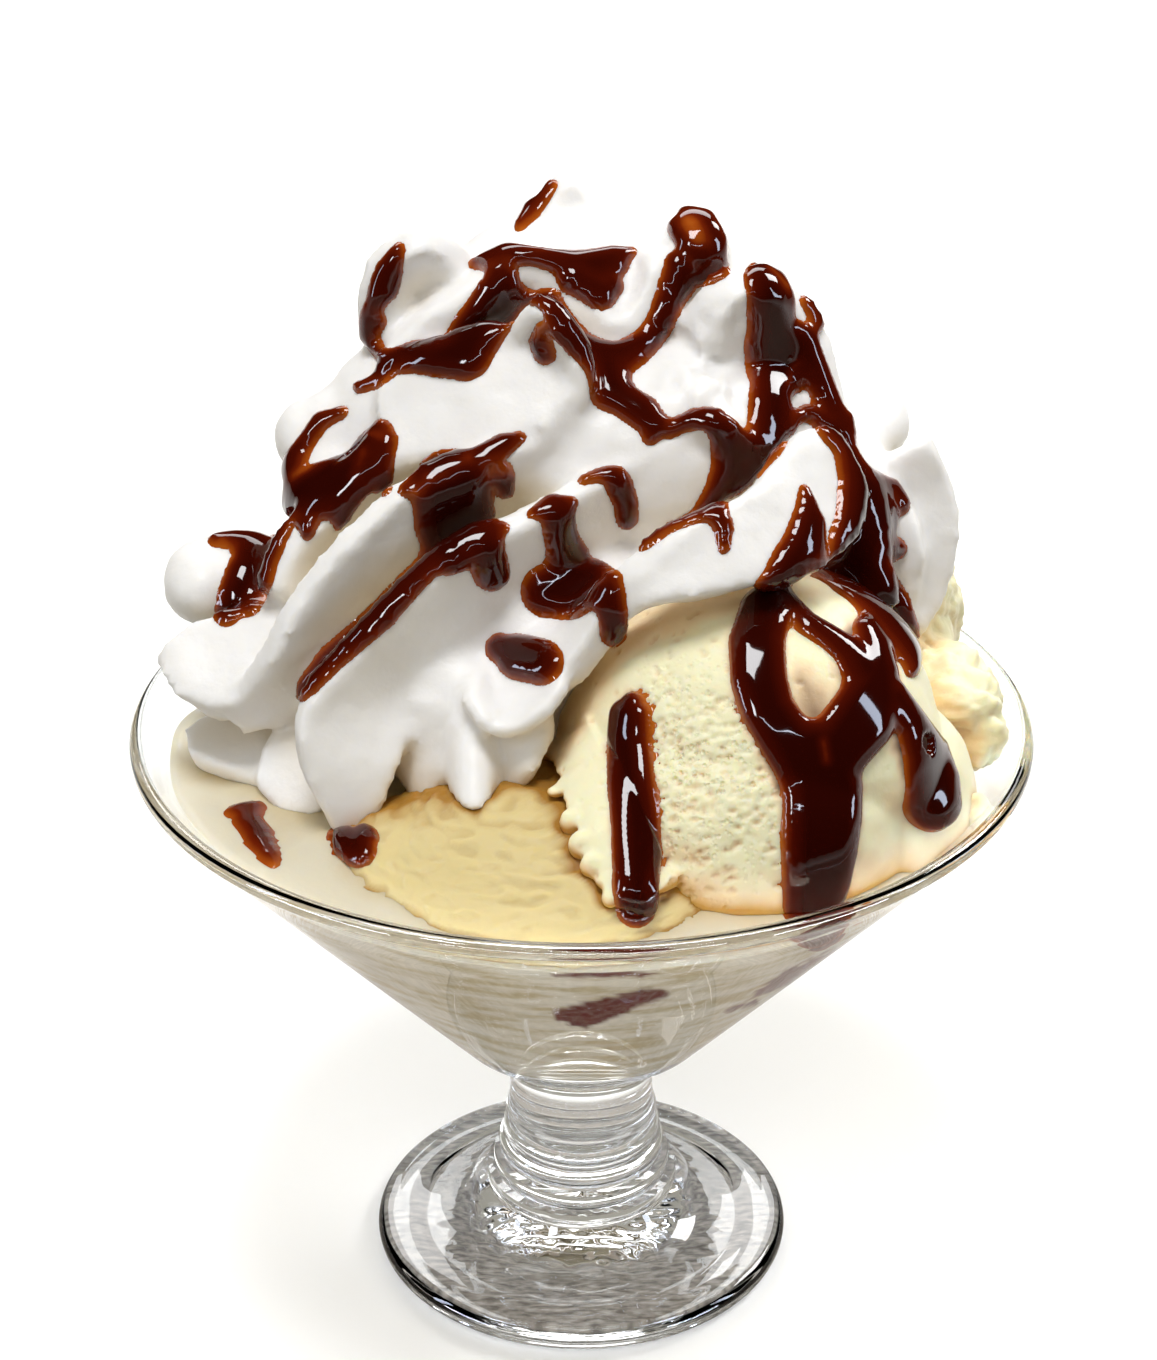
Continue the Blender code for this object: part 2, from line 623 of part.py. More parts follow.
def make_cream():
    """The piled cream: a body, its folds and its lobes melted into one skin."""
    shapes = [ball("core", centre, radii) for centre, radii in CREAM_CORE]
    shapes += [fold(name, outer, inner, thickness) for name, (outer, inner, thickness) in FOLDS.items()]
    shapes += [ball(name, seen(*place), radii) for name, (place, radii) in LOBES.items()]
    shapes += [fold(name, outer, inner, thick, True) for name, (outer, inner, thick) in FOLDS.items()]
    cream = joined("whipped_cream", shapes)
    fused(cream, CREAM_VOXEL, 4)
    largest_body(cream)
    return cream


def main():
    """Makes the glass, the ice cream in it and the cream on top, each clear of the next."""
    for old in list(bpy.data.objects):
        bpy.data.objects.remove(old)
    make_glass()
    scoops = [make_scoop(name) for name in SCOOPS]
    cream = make_cream()
    drizzled([*scoops, cream])
    scoops = [thinned(pressed(scoop), SCOOP_TRIANGLES) for scoop in scoops]
    pressed(thinned(cream, CREAM_TRIANGLES))
    base = make_base()
    right, left, back = scoops
    cut(left, inflated(right))
    cut(back, inflated(right))
    cut(back, inflated(left))
    for scoop in scoops:
        cut(base, inflated(scoop))
        cut(cream, inflated(scoop))
    cut(cream, inflated(base))
    for food in (*scoops, base, cream):
        largest_body(food)
    for scoop in scoops:
        paint(scoop, scoop.name, ICE_CREAM_COLOUR, 0.5)
    paint(base, base.name, ICE_CREAM_COLOUR, 0.5)
    paint(cream, cream.name, CREAM_COLOUR, 0.45)


main()
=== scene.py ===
"""The ice cream sundae as it looks: clear coupe, vanilla scoops, piped cream and poured chocolate sauce.

Sizes are in millimetres and are turned to metres where a mesh is made, apart from the studio, which is in
metres. The glass stands on the floor at the origin, and -Y is towards the camera.
"""

import math

import bmesh
import bpy
import numpy as np
from mathutils import Matrix, Vector, noise
from mathutils.bvhtree import BVHTree


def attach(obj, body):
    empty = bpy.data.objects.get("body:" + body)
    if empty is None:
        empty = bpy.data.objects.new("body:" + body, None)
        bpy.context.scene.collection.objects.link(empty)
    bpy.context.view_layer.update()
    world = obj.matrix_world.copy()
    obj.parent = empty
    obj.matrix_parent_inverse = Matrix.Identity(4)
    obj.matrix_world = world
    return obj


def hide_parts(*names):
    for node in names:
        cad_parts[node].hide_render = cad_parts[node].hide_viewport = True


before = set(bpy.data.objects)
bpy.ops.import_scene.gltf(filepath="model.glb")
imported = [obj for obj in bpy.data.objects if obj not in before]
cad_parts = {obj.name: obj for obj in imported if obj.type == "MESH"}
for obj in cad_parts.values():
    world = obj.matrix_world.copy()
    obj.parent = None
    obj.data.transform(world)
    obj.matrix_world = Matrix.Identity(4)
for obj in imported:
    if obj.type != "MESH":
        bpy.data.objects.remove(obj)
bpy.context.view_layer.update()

MM = 0.001

# The camera: where it stands, how it tilts, and the picture frame that folds and sauce are placed in.
EYE = Vector((-0.4, -355.8, 268.4))
EYE_TILT = math.radians(26.75)
PICTURE_SIZE = (1157, 1360)
PICTURE_CENTRE = (578.5, 680.0)
PICTURE_FOCUS = 2998.0

# The coupe.
FOOT_RADIUS = 29.5
STEM_TOP = 25.0
NECK_RADIUS = 10.1
STEM_RINGS = 5
RING_PITCH = 2.6
RING_DEPTH = 0.25
FOOT_RIPPLE = 0.06
CONE_FOOT = (18.5, 36.6)
RIM_RADIUS = 60.0
RIM_HEIGHT = 84.4
RIM_BEAD = 1.15
WALL = 2.0
WELL_HEIGHT = 36.4
WELL_EDGE = WELL_HEIGHT + 3.0
GLASS_STEPS = 144

# The scoops, each as the lumps that make it: centre and radii.
SCOOPS = {
    "scoop_front_right": [
        ((21.5, -15.0, 85.5), (25.2, 25.0, 25.2)),
        ((19.0, -21.0, 82.0), (24.0, 23.5, 20.0)),
        ((36.0, -16.0, 80.0), (15.0, 17.0, 15.0)),
    ],
    "scoop_front_left": [
        ((-4.0, -29.0, 72.0), (28.0, 25.5, 17.5)),
        ((-18.0, -29.0, 73.5), (17.0, 16.0, 12.5)),
    ],
    "scoop_back_right": [
        ((31.0, 21.0, 88.0), (22.0, 21.0, 21.0)),
        ((47.0, 4.0, 82.0), (9.5, 13.0, 10.5)),
    ],
}
# Where the spade tore the large scoop: its ragged lower edge over the picture frame, and a line above it.
TORN_EDGE = [(546, 735), (551, 765), (565, 797), (579, 828), (586, 855), (600, 872), (611, 894), (640, 906)]
TORN_ROOT = [(596, 715), (604, 745), (618, 775), (632, 805), (642, 830), (652, 850), (664, 866), (682, 878)]
TORN_THICKNESS = 2.6
# Broken bits: places in the picture frame, how far they stand out, and their radii, in millimetres.
TORN_BITS = [(556, 792, 0.8, 1.3), (572, 822, 1.0, 1.5), (583, 845, 0.9, 1.7), (592, 866, 1.0, 1.5),
             (603, 880, 0.8, 1.2), (611, 897, 0.8, 1.1), (549, 756, 0.6, 1.2), (646, 906, 0.4, 0.9)]
BACK_BITS = [(955, 700, -2.5, 6.5), (978, 735, -1.5, 4.6), (990, 760, -0.4, 2.8), (1003, 728, 0.3, 1.2),
             (1000, 738, 0.2, 1.3), (997, 772, 0.6, 2.0), (1012, 787, 1.0, 1.4), (1018, 797, 1.0, 1.0),
             (1008, 800, 1.0, 1.2), (1001, 750, 0.6, 1.2), (988, 792, 0.2, 2.0), (972, 812, 0.0, 2.0)]
# The pits that the spade left in the large scoop: how many are cut, the part of the picture frame that they
# keep to, the place there where they gather, and how far they spread from it. The finest ones are in the
# material, at their own pitch and spread.
PIT_COUNT = 620
PITTED_FRAME = (560, 610, 900, 915)
WORN_PLACE = (700, 770)
PIT_SPREAD = (62, 85)
FINE_PIT_SPREAD = (75, 100)
FINE_PIT_PITCH = 0.8

# How high the fill stands at its middle, and along the wall at even turns from the front.
FILL_MIDDLE = 83.0
FILL_AT_WALL = [78.8, 78.8, 78.0, 75.0, 68.0, 64.0, 65.0, 70.0, 77.0, 80.5, 81.0, 80.0]

# Folds of the cream. Each is a sheet between an outer edge and an inner one, whose points are a place in the
# picture frame and the depth behind the glass's axis, in millimetres; last comes its thickness.
FOLDS = {
    "front_tongue": (
        [(335, 836, -27), (299, 758, -27), (303, 705, -25), (352, 646, -23), (415, 580, -20), (460, 544, -17),
         (530, 512, -13), (602, 472, -8), (690, 420, -2)],
        [(362, 838, -26), (388, 775, -24), (405, 725, -20), (430, 680, -15), (480, 640, -12), (530, 605, -8),
         (590, 570, -4), (650, 530, 2), (710, 480, 8)],
        7.0,
    ),
    "upper_fin": (
        [(222, 712, -15), (268, 650, -18), (299, 593, -17), (350, 531, -15), (406, 486, -12), (490, 450, -8),
         (560, 430, -4), (640, 414, 0)],
        [(240, 715, -12), (310, 680, -12), (360, 630, -10), (420, 580, -8), (470, 545, -4), (540, 520, 0),
         (600, 500, 4), (660, 470, 6)],
        7.0,
    ),
    "right_band": (
        [(512, 722, -23), (560, 690, -25), (603, 640, -25), (622, 580, -24), (668, 533, -21), (722, 506, -18),
         (755, 485, -15), (782, 450, -10), (806, 428, -6), (826, 440, -2)],
        [(475, 690, -18), (500, 655, -14), (560, 650, -17), (612, 628, -21), (650, 606, -23), (700, 600, -24),
         (752, 586, -22), (800, 572, -18), (832, 540, -12), (842, 500, -6)],
        7.5,
    ),
    "left_petal": (
        [(164, 662, -7), (172, 640, -6), (200, 622, -4), (250, 615, -4), (330, 590, -6)],
        [(172, 678, -9), (190, 704, -12), (222, 716, -14), (270, 704, -15), (330, 665, -14)],
        7.0,
    ),
    "lower_left_petal": (
        [(186, 732, -6), (215, 712, -4), (270, 695, -4), (340, 680, -4)],
        [(192, 760, -10), (228, 778, -13), (268, 790, -15), (330, 750, -12)],
        5.0,
    ),
    "bottom_left_petal": (
        [(256, 790, -18), (260, 765, -16), (280, 725, -12), (320, 690, -8)],
        [(285, 812, -20), (325, 815, -22), (345, 770, -19), (370, 710, -13)],
        5.0,
    ),
    "skirt_left": (
        [(390, 757, -19), (404, 782, -21), (430, 811, -25), (452, 786, -21)],
        [(410, 710, -19), (420, 702, -20), (434, 698, -21), (446, 700, -20)],
        4.0,
    ),
    "skirt_middle": (
        [(450, 770, -21), (458, 800, -30), (472, 812, -34), (488, 800, -31), (500, 775, -22)],
        [(458, 700, -18), (466, 694, -20), (474, 692, -21), (482, 694, -20), (490, 700, -18)],
        4.0,
    ),
    "skirt_right": (
        [(500, 785, -22), (512, 797, -27), (532, 778, -29), (548, 752, -27), (550, 735, -24)],
        [(494, 700, -21), (504, 698, -22), (516, 696, -23), (532, 696, -23), (545, 698, -23)],
        4.0,
    ),
    "curl": (
        [(466, 696, -26), (480, 722, -29), (508, 735, -30), (543, 716, -30), (567, 686, -28)],
        [(470, 668, -17), (490, 676, -16), (512, 680, -16), (535, 672, -16), (560, 655, -17)],
        4.0,
    ),
    "middle_face": (
        [(378, 394, 5), (430, 350, 6), (500, 330, 5), (560, 350, 2), (583, 385, -1), (570, 412, -3)],
        [(396, 476, 0), (440, 466, -2), (490, 452, -3), (530, 440, -3), (545, 432, -3), (556, 432, -3)],
        8.0,
    ),
    "hook": (
        [(506, 345, 2), (522, 318, 0), (541, 305, -1), (558, 320, -2), (576, 350, -3), (583, 385, -4),
         (570, 414, -5), (548, 436, -5)],
        [(520, 380, 9), (530, 362, 9), (541, 350, 8), (550, 360, 7), (558, 380, 6), (560, 400, 5),
         (552, 420, 3), (535, 436, 2)],
        5.0,
    ),
    "sauce_shelf": (
        [(388, 368, 6), (430, 330, 8), (480, 300, 9), (520, 268, 11), (552, 276, 11), (580, 305, 9),
         (606, 336, 7), (630, 336, 7), (652, 308, 9), (664, 272, 11), (662, 250, 14)],
        [(410, 350, 16), (440, 320, 18), (480, 290, 20), (520, 255, 22), (556, 258, 22), (590, 280, 20),
         (610, 300, 18), (628, 300, 18), (645, 280, 20), (652, 255, 22), (655, 240, 24)],
        8.0,
    ),
    "left_lobe": (
        [(374, 342, 12), (370, 300, 12), (386, 256, 13), (427, 236, 14), (460, 258, 15), (480, 290, 15)],
        [(400, 350, 18), (405, 320, 20), (415, 300, 22), (430, 290, 22), (445, 300, 22), (460, 320, 22)],
        9.0,
    ),
    "peak": (
        [(492, 242, 24), (530, 212, 26), (568, 174, 28), (600, 196, 28), (640, 216, 26), (670, 216, 24),
         (690, 240, 20)],
        [(500, 262, 24), (540, 262, 26), (580, 262, 28), (610, 262, 28), (640, 262, 27), (660, 268, 25),
         (680, 275, 22)],
        11.0,
    ),
    "right_petal": (
        [(930, 434, 14), (955, 490, 13), (958, 535, 11), (944, 595, 8), (918, 640, 5)],
        [(872, 462, 14), (862, 500, 12), (860, 540, 9), (868, 580, 6), (890, 622, 3)],
        6.0,
    ),
    "right_shoulder": (
        [(690, 335, 6), (715, 295, 7), (745, 276, 9), (785, 285, 12), (812, 330, 12), (830, 390, 9),
         (845, 450, 4), (860, 500, 0), (872, 560, -4), (880, 610, -6)],
        [(690, 380, 10), (715, 370, 12), (740, 370, 14), (765, 380, 16), (780, 410, 16), (790, 440, 14),
         (800, 480, 12), (815, 520, 10), (830, 560, 6), (850, 590, 2)],
        11.0,
    ),
    "middle_fin": (
        [(640, 440, -2), (670, 428, -3), (712, 412, -4), (740, 425, -3), (758, 455, 0)],
        [(650, 500, 2), (680, 495, 2), (712, 490, 2), (735, 490, 3), (752, 500, 5)],
        7.0,
    ),
    "left_rise": (
        [(268, 590, -8), (290, 540, -6), (330, 500, -5), (380, 455, -3), (420, 430, -2)],
        [(300, 620, -4), (330, 580, 0), (370, 540, 4), (410, 500, 6), (440, 470, 6)],
        9.0,
    ),
}

# Rounded lobes of the cream: picture place, depth, and radii across, deep and high, in millimetres.
LOBES = {
    "left_lobe_end": ((205, 580, 6), (5.6, 8.0, 5.4)),
    "left_lobe_root": ((236, 575, 8), (8.0, 9.0, 5.6)),
    "shoulder_lobe_end": ((312, 436, 12), (5.0, 7.0, 5.0)),
    "shoulder_lobe_root": ((350, 430, 12), (7.5, 8.0, 6.0)),
    "sauced_lobe": ((345, 486, 6), (8.0, 9.0, 6.5)),
    "top_ring_lobe": ((696, 246, 18), (4.4, 6.0, 4.6)),
    "right_lobe_end": ((876, 422, 26), (4.6, 7.0, 4.8)),
    "right_lobe_root": ((850, 432, 24), (6.5, 8.0, 5.6)),
    "small_fold": ((697, 395, 2), (4.5, 5.0, 3.6)),
}

# The body of the pile behind its folds: centre and radii.
CREAM_CORE = [
    ((-4.0, 4.0, 99.0), (37.0, 22.0, 15.0)),
    ((4.0, 14.0, 118.0), (29.0, 22.0, 17.0)),
    ((0.0, 24.0, 134.0), (19.0, 15.0, 12.0)),
    ((-20.0, 2.0, 96.0), (27.0, 24.0, 10.0)),
    ((26.0, 14.0, 106.0), (17.0, 20.0, 17.0)),
    ((-22.0, 14.0, 118.0), (13.0, 14.0, 14.0)),
    ((13.0, 22.0, 132.0), (12.0, 12.0, 12.0)),
    ((30.0, 24.0, 104.0), (15.0, 13.0, 14.0)),
    ((-17.0, -14.0, 94.0), (14.0, 9.0, 9.0)),
    ((-10.0, -14.0, 89.0), (9.0, 6.0, 6.0)),
    ((-8.0, 8.0, 86.0), (36.0, 26.0, 10.0)),
]
# The rough rise at the pile's right: its place in the picture frame, and its spread.
ROUGH_RISE = (692, 365)
ROUGH_RISE_SPREAD = (52, 62)

# The far side has the near side's folds again, lower and narrower, over a back that stands upright.
FAR_WIDTH = 0.9
FAR_HEIGHT = 0.88
FAR_LOW = 80.0
FAR_DEPTH = 36.0
FAR_PROUD = 5.0
NEAR_DEPTH = -27.0
NEAR_LEAN = 0.011

# The sauce as it was poured: strokes over the picture frame, each a place and a half width at its points.
SAUCE = [
    # Round the left lobe of the top, and the long band that runs down from the top to its left.
    [(399, 249, 4), (389, 271, 11), (384, 288, 12), (372, 308, 5)],
    [(371, 318, 7), (370, 334, 6), (375, 345, 5), (381, 354, 3)],
    [(374, 320, 6), (380, 322, 4)],
    [(501, 269, 3), (502, 281, 14), (499, 298, 22), (489, 315, 23), (475, 335, 24), (465, 355, 23),
     (441, 358, 17), (414, 357, 13), (394, 362, 10), (383, 376, 5)],
    [(512, 292, 8), (530, 298, 4), (548, 299, 6)],
    [(375, 383, 3), (359, 388, 3)],
    # Along the crest under the peak, with its pool.
    [(473, 264, 2), (489, 262, 6), (509, 254, 7), (533, 257, 6), (553, 261, 8), (573, 266, 12),
     (594, 269, 17), (614, 262, 13), (632, 252, 2)],
    [(573, 278, 12), (590, 288, 13), (601, 295, 13), (610, 287, 10)],
    [(519, 227, 2), (533, 210, 6), (544, 200, 3), (553, 185, 2)],
    # The U through the middle, its right arm up to the ring, and its leg down to the folds.
    [(548, 299, 6), (556, 312, 9), (567, 330, 11), (581, 346, 12), (598, 357, 14), (619, 360, 15),
     (636, 350, 13), (650, 338, 11), (660, 322, 11), (668, 303, 12), (676, 285, 15), (680, 268, 12)],
    [(600, 362, 14), (607, 371, 18), (611, 390, 19), (627, 403, 14), (643, 413, 15), (654, 425, 12),
     (650, 437, 6)],
    [(680, 230, 9), (693, 244, 12), (702, 256, 9)],
    [(685, 213, 3), (705, 221, 7), (715, 240, 7), (716, 261, 6), (721, 270, 3)],
    [(675, 262, 6), (688, 272, 9), (705, 275, 9), (722, 271, 4)],
    [(542, 329, 4), (540, 342, 8), (545, 354, 8)],
    # Over the right shoulder and down the right side.
    [(752, 272, 4), (764, 279, 17), (770, 301, 20), (771, 325, 21), (776, 345, 29), (779, 365, 30),
     (770, 393, 18), (769, 416, 18), (767, 433, 17)],
    [(798, 343, 17), (813, 369, 12), (824, 393, 10), (834, 416, 9), (838, 437, 9)],
    [(786, 430, 5), (795, 418, 4), (806, 413, 5), (818, 418, 6), (830, 430, 9)],
    [(808, 301, 5), (814, 312, 5), (817, 326, 3)],
    [(671, 433, 3), (680, 425, 6), (695, 419, 8), (713, 419, 9), (725, 434, 13), (731, 452, 16),
     (730, 470, 16), (718, 491, 11), (702, 507, 4)],
    [(735, 448, 12), (750, 450, 14), (766, 443, 14)],
    [(764, 446, 13), (748, 465, 14), (732, 480, 12)],
    [(842, 423, 8), (844, 449, 8), (852, 471, 12), (862, 493, 22), (866, 519, 28), (860, 541, 27),
     (856, 560, 26), (873, 579, 18), (892, 605, 16), (904, 630, 11), (910, 656, 7), (911, 672, 3)],
    [(875, 487, 8), (890, 487, 6), (901, 506, 6)],
    [(884, 549, 10), (896, 549, 8)],
    [(821, 569, 8), (854, 587, 13), (879, 606, 17), (896, 628, 16), (906, 649, 10), (911, 667, 3)],
    # From the right band on to the large scoop, and down it in two arms.
    [(804, 489, 2), (806, 506, 8), (807, 525, 15), (803, 544, 18), (790, 560, 16), (778, 576, 12),
     (771, 588, 11)],
    [(771, 592, 14), (764, 614, 23), (757, 642, 25), (759, 678, 25), (768, 710, 23), (786, 739, 25),
     (805, 762, 30)],
    [(812, 756, 34), (822, 789, 37), (822, 817, 36), (820, 846, 34), (817, 874, 31), (812, 903, 27),
     (807, 914, 20)],
    [(783, 599, 8), (793, 607, 6), (807, 624, 8), (829, 639, 10), (846, 653, 13), (862, 672, 19)],
    [(864, 628, 9), (873, 650, 14), (874, 676, 20), (868, 700, 28), (858, 722, 32), (840, 745, 30),
     (828, 765, 28)],
    [(890, 698, 14), (911, 726, 14), (925, 754, 20), (931, 782, 24), (932, 803, 25)],
    [(633, 703, 8), (630, 717, 17), (629, 746, 19), (631, 781, 21), (635, 817, 22), (637, 853, 22),
     (636, 881, 20), (636, 908, 17)],
    # The left side: chips by the glass, the shoulder's patch and the low lobe.
    [(228, 812, 2), (244, 811, 4), (260, 808, 4)],
    [(246, 820, 9), (259, 837, 12), (270, 855, 8), (275, 863, 4)],
    [(336, 832, 7), (348, 844, 14), (358, 849, 16), (366, 838, 10)],
    [(343, 412, 3), (321, 421, 6), (307, 441, 6), (296, 459, 8), (294, 472, 8)],
    [(382, 428, 6), (372, 446, 13), (361, 470, 19), (338, 486, 25), (312, 494, 24), (298, 504, 12)],
    [(386, 440, 9), (384, 462, 7), (383, 488, 6)],
    [(290, 512, 5), (281, 535, 5), (272, 557, 5), (266, 572, 3)],
    [(308, 524, 7), (308, 534, 4)],
    [(341, 512, 8), (340, 525, 4)],
    [(214, 541, 3), (236, 541, 6), (258, 548, 7)],
    [(252, 551, 14), (247, 575, 19), (238, 597, 18), (226, 614, 10)],
    [(262, 555, 9), (262, 580, 8), (252, 605, 6)],
    # Across the folds in front.
    [(406, 491, 4), (424, 482, 6), (441, 475, 6), (477, 459, 7), (504, 445, 9), (521, 437, 3)],
    [(450, 488, 36), (455, 521, 38), (448, 548, 24)],
    [(502, 475, 10), (506, 490, 6)],
    [(446, 548, 11), (428, 566, 10), (406, 588, 11), (383, 614, 12), (357, 637, 11), (330, 660, 11),
     (308, 686, 8), (302, 696, 3)],
    [(466, 546, 2), (486, 533, 6), (504, 528, 3)],
    [(486, 542, 14), (489, 564, 16), (491, 572, 16)],
    [(531, 515, 2), (553, 506, 7), (572, 503, 3)],
    [(557, 515, 14), (561, 538, 14), (568, 556, 18)],
    [(548, 591, 24), (567, 587, 30), (592, 584, 22), (615, 577, 4)],
    [(611, 592, 11), (613, 615, 12), (613, 634, 10)],
    [(582, 481, 2), (598, 475, 4), (615, 475, 7)],
    [(619, 486, 11), (626, 503, 9), (627, 519, 8)],
    [(642, 548, 1.5), (669, 528, 2.5), (696, 517, 3.5), (714, 511, 5)],
    [(718, 514, 8), (724, 528, 7), (724, 549, 3)],
    [(500, 648, 12), (519, 657, 20), (541, 662, 20)],
]
# The sauce on the far side, as that side looks when it is turned to the front.
FAR_SAUCE = [
    [(498, 435, 14), (478, 450, 24), (464, 475, 18), (430, 515, 16), (400, 560, 20)],
    [(714, 470, 14), (728, 490, 17), (738, 508, 16), (760, 535, 20), (780, 590, 14)],
    [(520, 444, 12), (600, 453, 17), (655, 452, 10)],
    [(580, 465, 12), (600, 515, 18), (590, 575, 22)],
]
# Where sauce has soaked into the large scoop beyond its poured edge.
SOAK = [
    [(633, 700, 12), (629, 746, 21), (635, 817, 24), (637, 860, 23)],
    [(771, 592, 14), (757, 642, 29), (759, 690, 28), (786, 745, 30), (822, 800, 40), (818, 880, 33)],
    [(850, 640, 12), (872, 612, 10), (878, 660, 22), (862, 712, 34)],
    [(893, 700, 16), (930, 780, 26)],
]

# The thin brown smear inside the sauce's loop on the large scoop.
SMEAR = [
    [(800, 672, 4), (812, 700, 14), (818, 730, 22), (822, 750, 20)],
    [(846, 655, 8), (852, 690, 16), (848, 715, 14)],
]
# Where the sauce lies so thin that it shows amber.
THIN = [
    [(690, 228, 8), (697, 240, 8)], [(545, 322, 3), (541, 330, 4)], [(374, 436, 3), (386, 440, 3)],
    [(430, 481, 4), (450, 473, 3), (470, 462, 2)], [(300, 478, 4), (312, 470, 4)],
    [(368, 455, 3), (358, 480, 2)], [(819, 742, 3), (822, 760, 3)], [(590, 598, 2), (606, 582, 3)],
    [(498, 470, 3), (512, 468, 3)], [(766, 275, 4), (782, 290, 3)], [(603, 575, 3), (618, 570, 3)],
    [(780, 388, 3), (800, 360, 2)], [(223, 548, 4), (232, 560, 3)], [(584, 480, 2), (600, 478, 2)],
    [(412, 494, 3), (424, 488, 3)],
]
# Sauce that ran down between the ice cream and the glass.
BLOTS = [
    [(562, 1003, 8), (585, 1004, 13), (612, 996, 11), (640, 985, 8), (662, 982, 5)],
    [(557, 963, 2), (600, 961, 4), (656, 962, 2)],
    [(752, 981, 3), (785, 964, 8), (815, 950, 8), (842, 934, 5)],
    [(722, 999, 2), (749, 990, 3)],
]

# How high the sauce stands and how thick its skin is. Then, over the picture frame, how far inside its edge
# it is full, how far it spreads past its strokes and how far out its skin is kept, and the fewest points that
# a patch of it has.
SAUCE_HEIGHT = 1.5
SAUCE_SKIN = 0.5
SAUCE_FULL = 20.0
SAUCE_SPREAD = 3.0
SAUCE_MARGIN = 4.0
SAUCE_SCRAP = 60

# How large the materials' patterns are: the froth of the cream, the patches and the grit of the ice cream,
# the streaks of melted ice cream across and up, and the specks of the table top across and deep.
CREAM_FROTH = 1.11
ICE_PATCH = 7.14
ICE_GRIT = 0.714
MELT_STREAK = (8.33, 2.38)
TABLE_SPECK = (2.22, 0.77)

# How much painted shade deepens the ice cream's colour in a pit and in a fine pit, and how much a random
# patch deepens it.
PIT_SHADE = 0.22
FINE_PIT_SHADE = 0.08
PATCH_SHADE = 0.3


# Helpers


def seen(px, py, depth):
    """The point that the picture frame shows at (px, py), depth millimetres behind the glass's axis."""
    across = (px - PICTURE_CENTRE[0]) / PICTURE_FOCUS
    down = (py - PICTURE_CENTRE[1]) / PICTURE_FOCUS
    ahead = Vector((0.0, math.cos(EYE_TILT), -math.sin(EYE_TILT)))
    up = Vector((0.0, math.sin(EYE_TILT), math.cos(EYE_TILT)))
    ray = ahead + Vector((1.0, 0.0, 0.0)) * across - up * down
    return EYE + ray * ((depth - EYE.y) / ray.y)


def picture_place(points):
    """Where the picture frame shows points, given as rows in metres, and the way to the eye from each."""
    shift = points / MM - np.array(EYE)
    ahead = shift @ np.array([0.0, math.cos(EYE_TILT), -math.sin(EYE_TILT)])
    up = shift @ np.array([0.0, math.sin(EYE_TILT), math.cos(EYE_TILT)])
    across = PICTURE_CENTRE[0] + PICTURE_FOCUS * shift[:, 0] / ahead
    down = PICTURE_CENTRE[1] - PICTURE_FOCUS * up / ahead
    return across, down, -shift / np.linalg.norm(shift, axis=1)[:, None]


def smooth_path(points, count):
    """Points spread evenly in number along one smooth curve through the given ones."""
    padded = [points[0] * 2 - points[1], *points, points[-1] * 2 - points[-2]]
    path = []
    for i in range(count):
        place = i / (count - 1) * (len(points) - 1)
        k = min(int(place), len(points) - 2)
        t = place - k
        a, b, c, d = padded[k : k + 4]
        path.append(
            (b * 2 + (c - a) * t + (a * 2 - b * 5 + c * 4 - d) * t * t + (b * 3 - a - c * 3 + d) * t**3) / 2
        )
    return path


def only(obj):
    """Makes the object the one that operators act on."""
    bpy.ops.object.select_all(action="DESELECT")
    bpy.context.view_layer.objects.active = obj
    obj.select_set(True)


def apply_modifiers(obj):
    """Applies the object's modifiers in order."""
    only(obj)
    for name in [m.name for m in obj.modifiers]:
        bpy.ops.object.modifier_apply(modifier=name)


def placed(obj):
    """Moves the object's place into its mesh."""
    only(obj)
    bpy.ops.object.transform_apply(location=True, rotation=True, scale=True)
    return obj


def new_object(name, shape):
    """Puts a bmesh, in millimetres, into the scene in metres."""
    mesh = bpy.data.meshes.new(name)
    shape.to_mesh(mesh)
    shape.free()
    mesh.transform(Matrix.Scale(MM, 4))
    obj = bpy.data.objects.new(name, mesh)
    bpy.context.scene.collection.objects.link(obj)
    return obj


def joined(name, objects):
    """Joins the objects into one."""
    bpy.ops.object.select_all(action="DESELECT")
    for obj in objects:
        obj.select_set(True)
    bpy.context.view_layer.objects.active = objects[0]
    bpy.ops.object.join()
    objects[0].name = name
    return objects[0]


def rows(obj):
    """The object's vertices and their normals, as rows."""
    count = len(obj.data.vertices)
    points = np.empty(count * 3)
    normals = np.empty(count * 3)
    obj.data.vertices.foreach_get("co", points)
    obj.data.vertex_normals.foreach_get("vector", normals)
    return points.reshape(-1, 3), normals.reshape(-1, 3)


def set_rows(obj, points):
    """Puts the object's vertices at the given rows."""
    obj.data.vertices.foreach_set("co", points.ravel())
    obj.data.update()


def attribute(obj, name, values):
    """Keeps a number for each vertex on the mesh, for its material to read."""
    layer = obj.data.attributes.new(name, "FLOAT", "POINT")
    layer.data.foreach_set("value", np.asarray(values, dtype=np.float32))


def evened(obj, values, rounds):
    """Evens out a number, or a row of numbers, for each vertex along the mesh's edges."""
    edges = np.empty(len(obj.data.edges) * 2, dtype=np.int64)
    obj.data.edges.foreach_get("vertices", edges)
    one, two = edges.reshape(-1, 2).T
    count = np.bincount(one, minlength=len(values)) + np.bincount(two, minlength=len(values))
    count = np.maximum(count, 1)
    for _ in range(rounds):
        total = np.zeros_like(values)
        np.add.at(total, one, values[two])
        np.add.at(total, two, values[one])
        values = total / (count if values.ndim == 1 else count[:, None])
    return values


def ramp(values, low, high):
    """From 0 at low to 1 at high, eased at both ends."""
    share = np.clip((values - low) / (high - low), 0.0, 1.0)
    return share * share * (3 - 2 * share)


